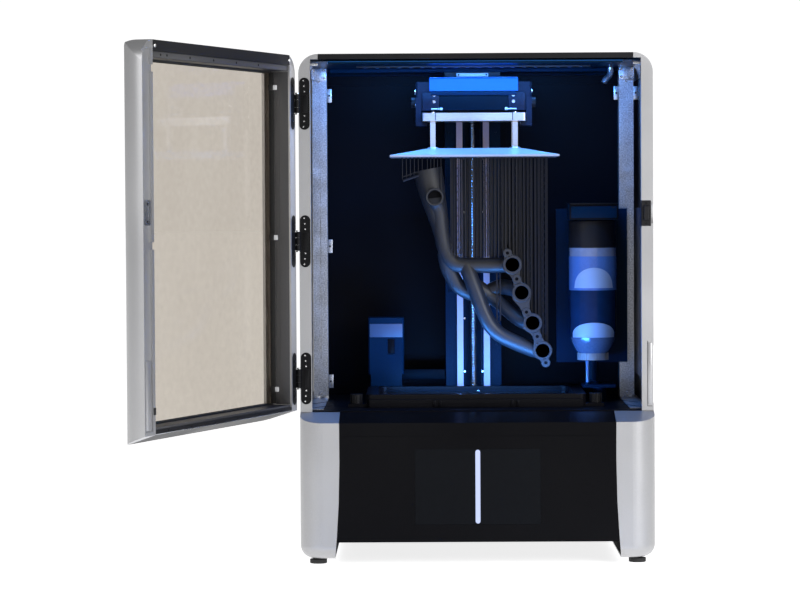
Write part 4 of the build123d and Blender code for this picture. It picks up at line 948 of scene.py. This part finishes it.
def dome_label(z_low, height, half_angle, proud):
    """A half-round label wrapped on the front of the bottle."""
    columns, rows = 36, 10
    grid = []
    for i in range(columns + 1):
        u = -1 + 2 * i / columns
        reach = height * math.sqrt(max(1 - u * u, 0.0))
        line = []
        for j in range(rows + 1):
            z = z_low + max(reach, 0.4) * j / rows
            angle = u * half_angle
            r = bottle_radius(z) + proud
            line.append(bottle.bm.verts.new((BOTTLE_X + r * math.sin(angle),
                                             BOTTLE_Y - r * math.cos(angle), z)))
        grid.append(line)
    made = []
    for i in range(columns):
        for j in range(rows):
            made.append(bottle.bm.faces.new((grid[i][j], grid[i + 1][j], grid[i + 1][j + 1],
                                             grid[i][j + 1])))
    bottle.painted(made)


bottle.paint = 5
dome_label(457.0, 36.0, math.radians(52.5), 0.7)
dome_label(369.5, 26.5, math.radians(64.0), 0.5)
bottle_piece = piece(bottle, "resin_bottle_shell",
                     [bottle_dark, bottle_clear, bottle_sleeve, plastic, bottle_shoulder,
                      label], "bottle", smooth=30)
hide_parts("resin_bottle")

# ---------------------------------------------------------------- hinges and latch

HINGE_Z = (312.0, 545.0, 778.0)
LEAF_X = -290.0
SCREW_DZ = (20.5, 29.8, 39.0)


def leaf_screws(target, front_y, facing):
    """Six screws on each leaf of the body, or four on each leaf of the door."""
    for z in HINGE_Z:
        for sign in SIDES:
            for i, dz in enumerate(SCREW_DZ):
                spot = (LEAF_X - 0.6 + (1 - i) * 0.9, front_y, z + sign * dz)
                if i < 2 or facing < 0:
                    target.paint = 0
                    target.turned([(0, 3.6), (0.25, 3.4), (0.25, 3.0)], spot,
                                  (0, facing, 0), sides=20)
                    target.turned([(0.05, 2.6), (0.6, 2.5), (0.8, 2.0), (0.8, 1.3),
                                   (0.4, 1.2)], spot, (0, facing, 0), sides=18)
                    # painted highlight: a bright steel core fills each screw's socket
                    target.paint = 1
                    target.turned([(0.3, 1.3), (0.9, 1.25), (0.9, 0.05)], spot,
                                  (0, facing, 0), sides=12)


body_leaf = Shape()
leaf_screws(body_leaf, 0.0, -1)
for z in HINGE_Z:
    body_leaf.paint = 0
    body_leaf.box(LEAF_X - 3.5, LEAF_X + 5.5, -1.4, 0.05, z - 15, z + 15, edge=0.6)
piece(body_leaf, "hinge_screws_body", [oxide_black, bright_steel], PRINTER)

door_leaf = Shape()
leaf_screws(door_leaf, -6.0, 1)
piece(door_leaf, "hinge_screws_door", [oxide_black, bright_steel], "door",
      place=DOOR_PLACE)

# a slim pocket low on the right front edge of the body
pocket = Shape()
pocket.box(289.4, 290.2, -0.5, 0.2, 262, 373)
pocket.box(289.4, 297.6, -0.5, 0.2, 262, 262.8)
pocket.paint = 1
pocket.box(290.4, 297.4, -0.9, 0.2, 266, 370, edge=0.3)
piece(pocket, "frame_pocket", [frame_black, silver], PRINTER)

latch_low, latch_high = node_box("latch_housing")
latch = Shape()
for z in (latch_low.z + 4.5, latch_high.z - 4.5):
    latch.screw(((latch_low.x + latch_high.x) / 2, latch_low.y, z), (0, -1, 0), 2.0, 0.5)
piece(latch, "latch_screws", oxide_black, PRINTER)

# ---------------------------------------------------------------- door details
# drawn where they are when the door is shut; DOOR_PLACE swings them open

RAIL_IN = 262.0
HINGE_WALL = -277.0
CLIP_ZS = (805, 552, 295)
DOOR_BACK = -6.0
door_parts = Shape()
# seals between the window and its frame
door_parts.box(HINGE_WALL, RAIL_IN, -43.8, -39.5, 829.5, 832.4, edge=0.5)
door_parts.box(HINGE_WALL, RAIL_IN, -43.8, -40.6, 267, 271.4, edge=0.5)
door_parts.box(HINGE_WALL, HINGE_WALL + 1.0, -43.8, -35, 271, 831, edge=0.3)
door_parts.box(RAIL_IN - 1.2, RAIL_IN, -43.8, -9.5, 271, 831, edge=0.3)
piece(door_parts, "window_seals", gasket, "door", place=DOOR_PLACE)

door_wall = Shape()
door_wall.box(HINGE_WALL, HINGE_WALL + 0.8, -34.6, -9, 270, 831, edge=0.3)
door_wall.box(HINGE_WALL + 0.8, HINGE_WALL + 1.2, -26, -25.4, 270, 831)
for z in CLIP_ZS:
    door_wall.box(HINGE_WALL + 0.8, HINGE_WALL + 1.4, -34, -10, z - 8, z - 7.4)
# recessed lips above and below the window
door_wall.box(HINGE_WALL, RAIL_IN, -9.2, -8.7, 832.4, 841.6, edge=0.2)
door_wall.box(HINGE_WALL, RAIL_IN, -9.2, -8.7, 265.3, 268.8, edge=0.2)
piece(door_wall, "door_inner_lining", door_inside, "door",
      place=DOOR_PLACE)

clips = Shape()
for z in CLIP_ZS:
    clips.paint = 0
    clips.box(HINGE_WALL + 0.8, HINGE_WALL + 6, -43.0, -36, z - 5, z + 5, edge=0.6)
    clips.paint = 1
    clips.box(HINGE_WALL + 0.8, HINGE_WALL + 3.4, -35.6, -29, z - 4, z + 4, edge=0.4)
piece(clips, "window_clips", [gasket, white_plastic], "door",
      place=DOOR_PLACE)

bars = Shape()
for x in (-150, -60, 30, 120, 205, 228):
    bars.screw((x, -8.7, 837), (0, 1, 0), 1.9, 0.7)
for x in (-230, -140, -50, 40, 130, 215):
    bars.screw((x, DOOR_BACK, 262), (0, 1, 0), 1.6, 0.6)
bars.paint = 1
for x in (HINGE_WALL + 5, RAIL_IN - 5):
    bars.turned([(0, 3.2), (2.0, 3.2), (2.8, 2.4), (2.8, 0.1)], (x, DOOR_BACK, 850),
                (0, 1, 0), sides=18)
# painted highlight: a thin bright steel strip along the back bottom edge of the door
bars.paint = 2
bars.box(HINGE_WALL, RAIL_IN, -6.5, -5.7, 258.4, 259.6, edge=0.2)
piece(bars, "door_bar_fittings", [oxide_black, bright_steel, steel], "door",
      place=DOOR_PLACE)

rail = Shape()
rail.box(262.6, 269.4, -6.0, -4.4, 289, 300, edge=0.6)
rail.paint = 1
rail.box(271.5, 291, -9.0, -7.6, 266, 372, edge=0.5)
rail.box(292, 293, -9.0, -8.2, 264, 380)
rail.paint = 2
for z in (582.5, 609.5):
    rail.screw((284, -6.7, z), (0, 1, 0), 2.0, 0.6)
piece(rail, "door_rail_fittings", [gasket, silver, oxide_black], "door",
      place=DOOR_PLACE)

# ---------------------------------------------------------------- base, feet and back

inlet_low, inlet_high = node_box("power_inlet")
INLET_X = (inlet_low.x + inlet_high.x) / 2
SOCKET_Z = joint("power_rock")["pos_m"][2] / MM - 25
pins = Shape()
for dx, dz in ((-7, -2.5), (7, -2.5), (0, 3.5)):
    pins.box(INLET_X + dx - 1, INLET_X + dx + 1, 554, 566, SOCKET_Z + dz - 2,
             SOCKET_Z + dz + 2, edge=0.4)
piece(pins, "inlet_pins", brass, PRINTER)

cover_low, cover_high = node_box("rear_cover")
rear = Shape()
for x in (-270, -90, 90, 270):
    for z in (cover_low.z + 14, cover_high.z - 12):
        rear.screw((x, cover_high.y, z), (0, 1, 0), 3.4, 2.0)
for x in (-278, 278):
    for i in range(4):
        rear.screw((x, cover_high.y, 180 + i * 165), (0, 1, 0), 3.4, 2.0)
for side in SIDES:
    rear.screw((INLET_X + side * 14.5, inlet_high.y, SOCKET_Z + 12), (0, 1, 0), 1.4, 0.6)
piece(rear, "rear_screws", oxide_black, PRINTER)
